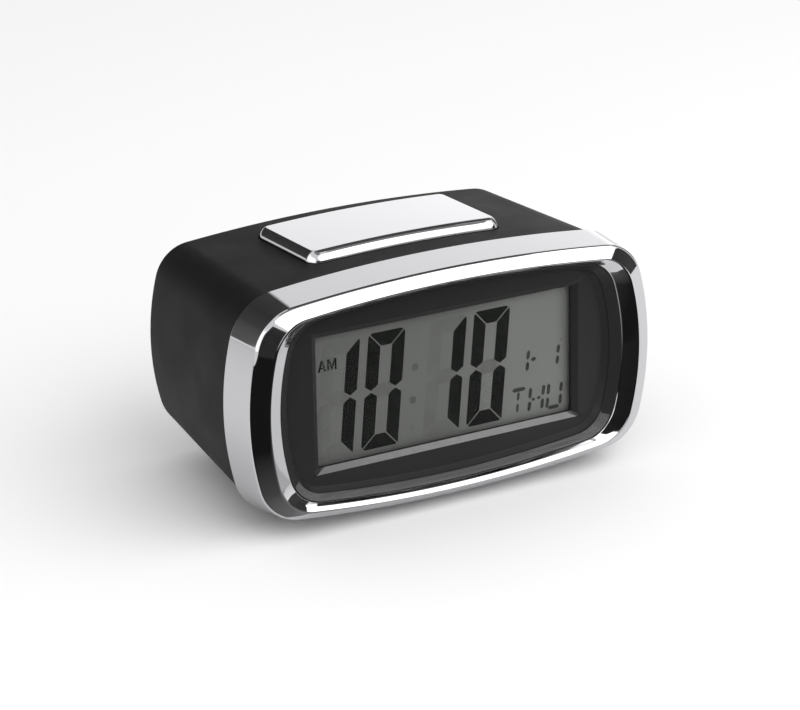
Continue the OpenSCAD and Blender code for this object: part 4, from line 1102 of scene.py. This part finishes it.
def apron():
    """Dark sheet on the table ahead of the face, paler close to it."""
    card = grid_card("front_apron", 32, 40)
    for v in card.data.vertices:
        reach = APRON_NEAR * APRON_GROWTH ** ((v.co.y + 1) / 2)
        v.co = APRON_FOOT + APRON_RISE + reach * towards(-20 + 68 * v.co.x, 0)
    coat = finish("front_apron", grey(0.02), 0.9, Specular_IOR_Level=0.0)
    tree = coat.node_tree
    coord = tree.nodes.new("ShaderNodeTexCoord")
    away = tree.nodes.new("ShaderNodeVectorMath")
    away.operation = "DISTANCE"
    away.inputs[1].default_value = APRON_FOOT
    tree.links.new(coord.outputs["Object"], away.inputs[0])
    share = spread(coat, away.outputs["Value"], (0, APRON_FADE), (0, 1))
    varied_colour(coat, share, [(place, grey(tone)) for place, tone in APRON_TONES])
    card.data.materials.append(coat)
    polished_only(card)


def softbox(name, azimuth, elevation, size, strength):
    bpy.ops.object.light_add(type="AREA", location=FACE_MID + STUDIO_R * towards(azimuth, elevation))
    lamp = bpy.context.object
    lamp.name = name
    lamp.data.shape, lamp.data.size, lamp.data.size_y = "RECTANGLE", *size
    lamp.data.energy = strength * math.pi * size[0] * size[1]
    lamp.rotation_euler = (FACE_MID - lamp.location).to_track_quat("-Z", "Y").to_euler()
    lamp.visible_camera = False


def studio():
    floor()
    apron()
    near_flag()
    flag("left_front_flag", (-44, -11), (-4, 27), 0.04)
    flag("front_grey_card", (12, 50), (-4, 21), 0.36)
    flag("right_flag", (50.5, 81), (-3, 26), 0.06)
    rear_fades = ((0, 0.8), (0.06, 0.07), (0.6, 0.05), (0.85, 0.07), (1, 0.15))
    flag("rear_flag", (160, 228), (2, 52), 0.075, rear_fades)
    flag("overhead_flag", (98, 166), (57, 74), 0.09)
    flag("overhead_grey_card", (74, 98), (54, 68), 0.3)
    flag("rear_high_flag", (100, 166), (38, 57), 0.09)
    flag("right_rear_flag", (97, 118), (-2, 34), 0.06)
    flag("zenith_card", (-180, 180), (74, 89.9), 0.3)
    glow("rear_glow", (120, 159), (1, 37.5), 1.6, 1.0)
    glow("left_glow", (-125, -50), (4, 40), 1.8, 1.8)
    softbox("overhead_softbox", 31, 48, (1.3, 0.7), 1.65)
    world_fill()
    scene.view_settings.view_transform = "Standard"


def world_fill():
    """White all round, a little weaker as fill light than where it is seen or reflected."""
    world = bpy.data.worlds.new("studio")
    scene.world = world
    world.use_nodes = True
    tree = world.node_tree
    fill = tree.nodes["Background"]
    fill.inputs["Strength"].default_value = 0.8
    fill.inputs["Color"].default_value = (1, 1, 1, 1)
    seen = tree.nodes.new("ShaderNodeBackground")
    seen.inputs["Color"].default_value = (1, 1, 1, 1)
    path = tree.nodes.new("ShaderNodeLightPath")
    total = path.outputs["Is Camera Ray"]
    for name in ("Is Glossy Ray", "Is Transmission Ray"):
        either = tree.nodes.new("ShaderNodeMath")
        either.operation = "MAXIMUM"
        tree.links.new(total, either.inputs[0])
        tree.links.new(path.outputs[name], either.inputs[1])
        total = either.outputs[0]
    choice = tree.nodes.new("ShaderNodeMixShader")
    tree.links.new(total, choice.inputs["Fac"])
    tree.links.new(fill.outputs["Background"], choice.inputs[1])
    tree.links.new(seen.outputs["Background"], choice.inputs[2])
    tree.links.new(choice.outputs["Shader"], tree.nodes["World Output"].inputs["Surface"])


def camera():
    """Placed from the fit of the face's outlines to the photo."""
    a, e, roll = math.radians(30.556), math.radians(19.094), math.radians(-1.089)
    ahead = Vector((math.sin(a) * math.cos(e), math.cos(a) * math.cos(e), -math.sin(e)))
    level = Vector((math.cos(a), -math.sin(a), 0))
    over = level.cross(ahead)
    right = math.cos(roll) * level + math.sin(roll) * over
    up = -math.sin(roll) * level + math.cos(roll) * over
    aim, distance = Vector((-2.784, 25.975, 0.730)), 866.3
    spot = (aim - distance * ahead) * MM
    lens = bpy.data.cameras.new("view")
    lens.lens, lens.sensor_width = 147.348, 36
    lens.clip_start, lens.clip_end = 0.05, 20
    eye = bpy.data.objects.new("view", lens)
    scene.collection.objects.link(eye)
    turn = Matrix((right, up, -ahead)).transposed().to_4x4()
    eye.matrix_world = STAND @ Matrix.Translation(spot) @ turn
    scene.camera = eye


studio()
camera()
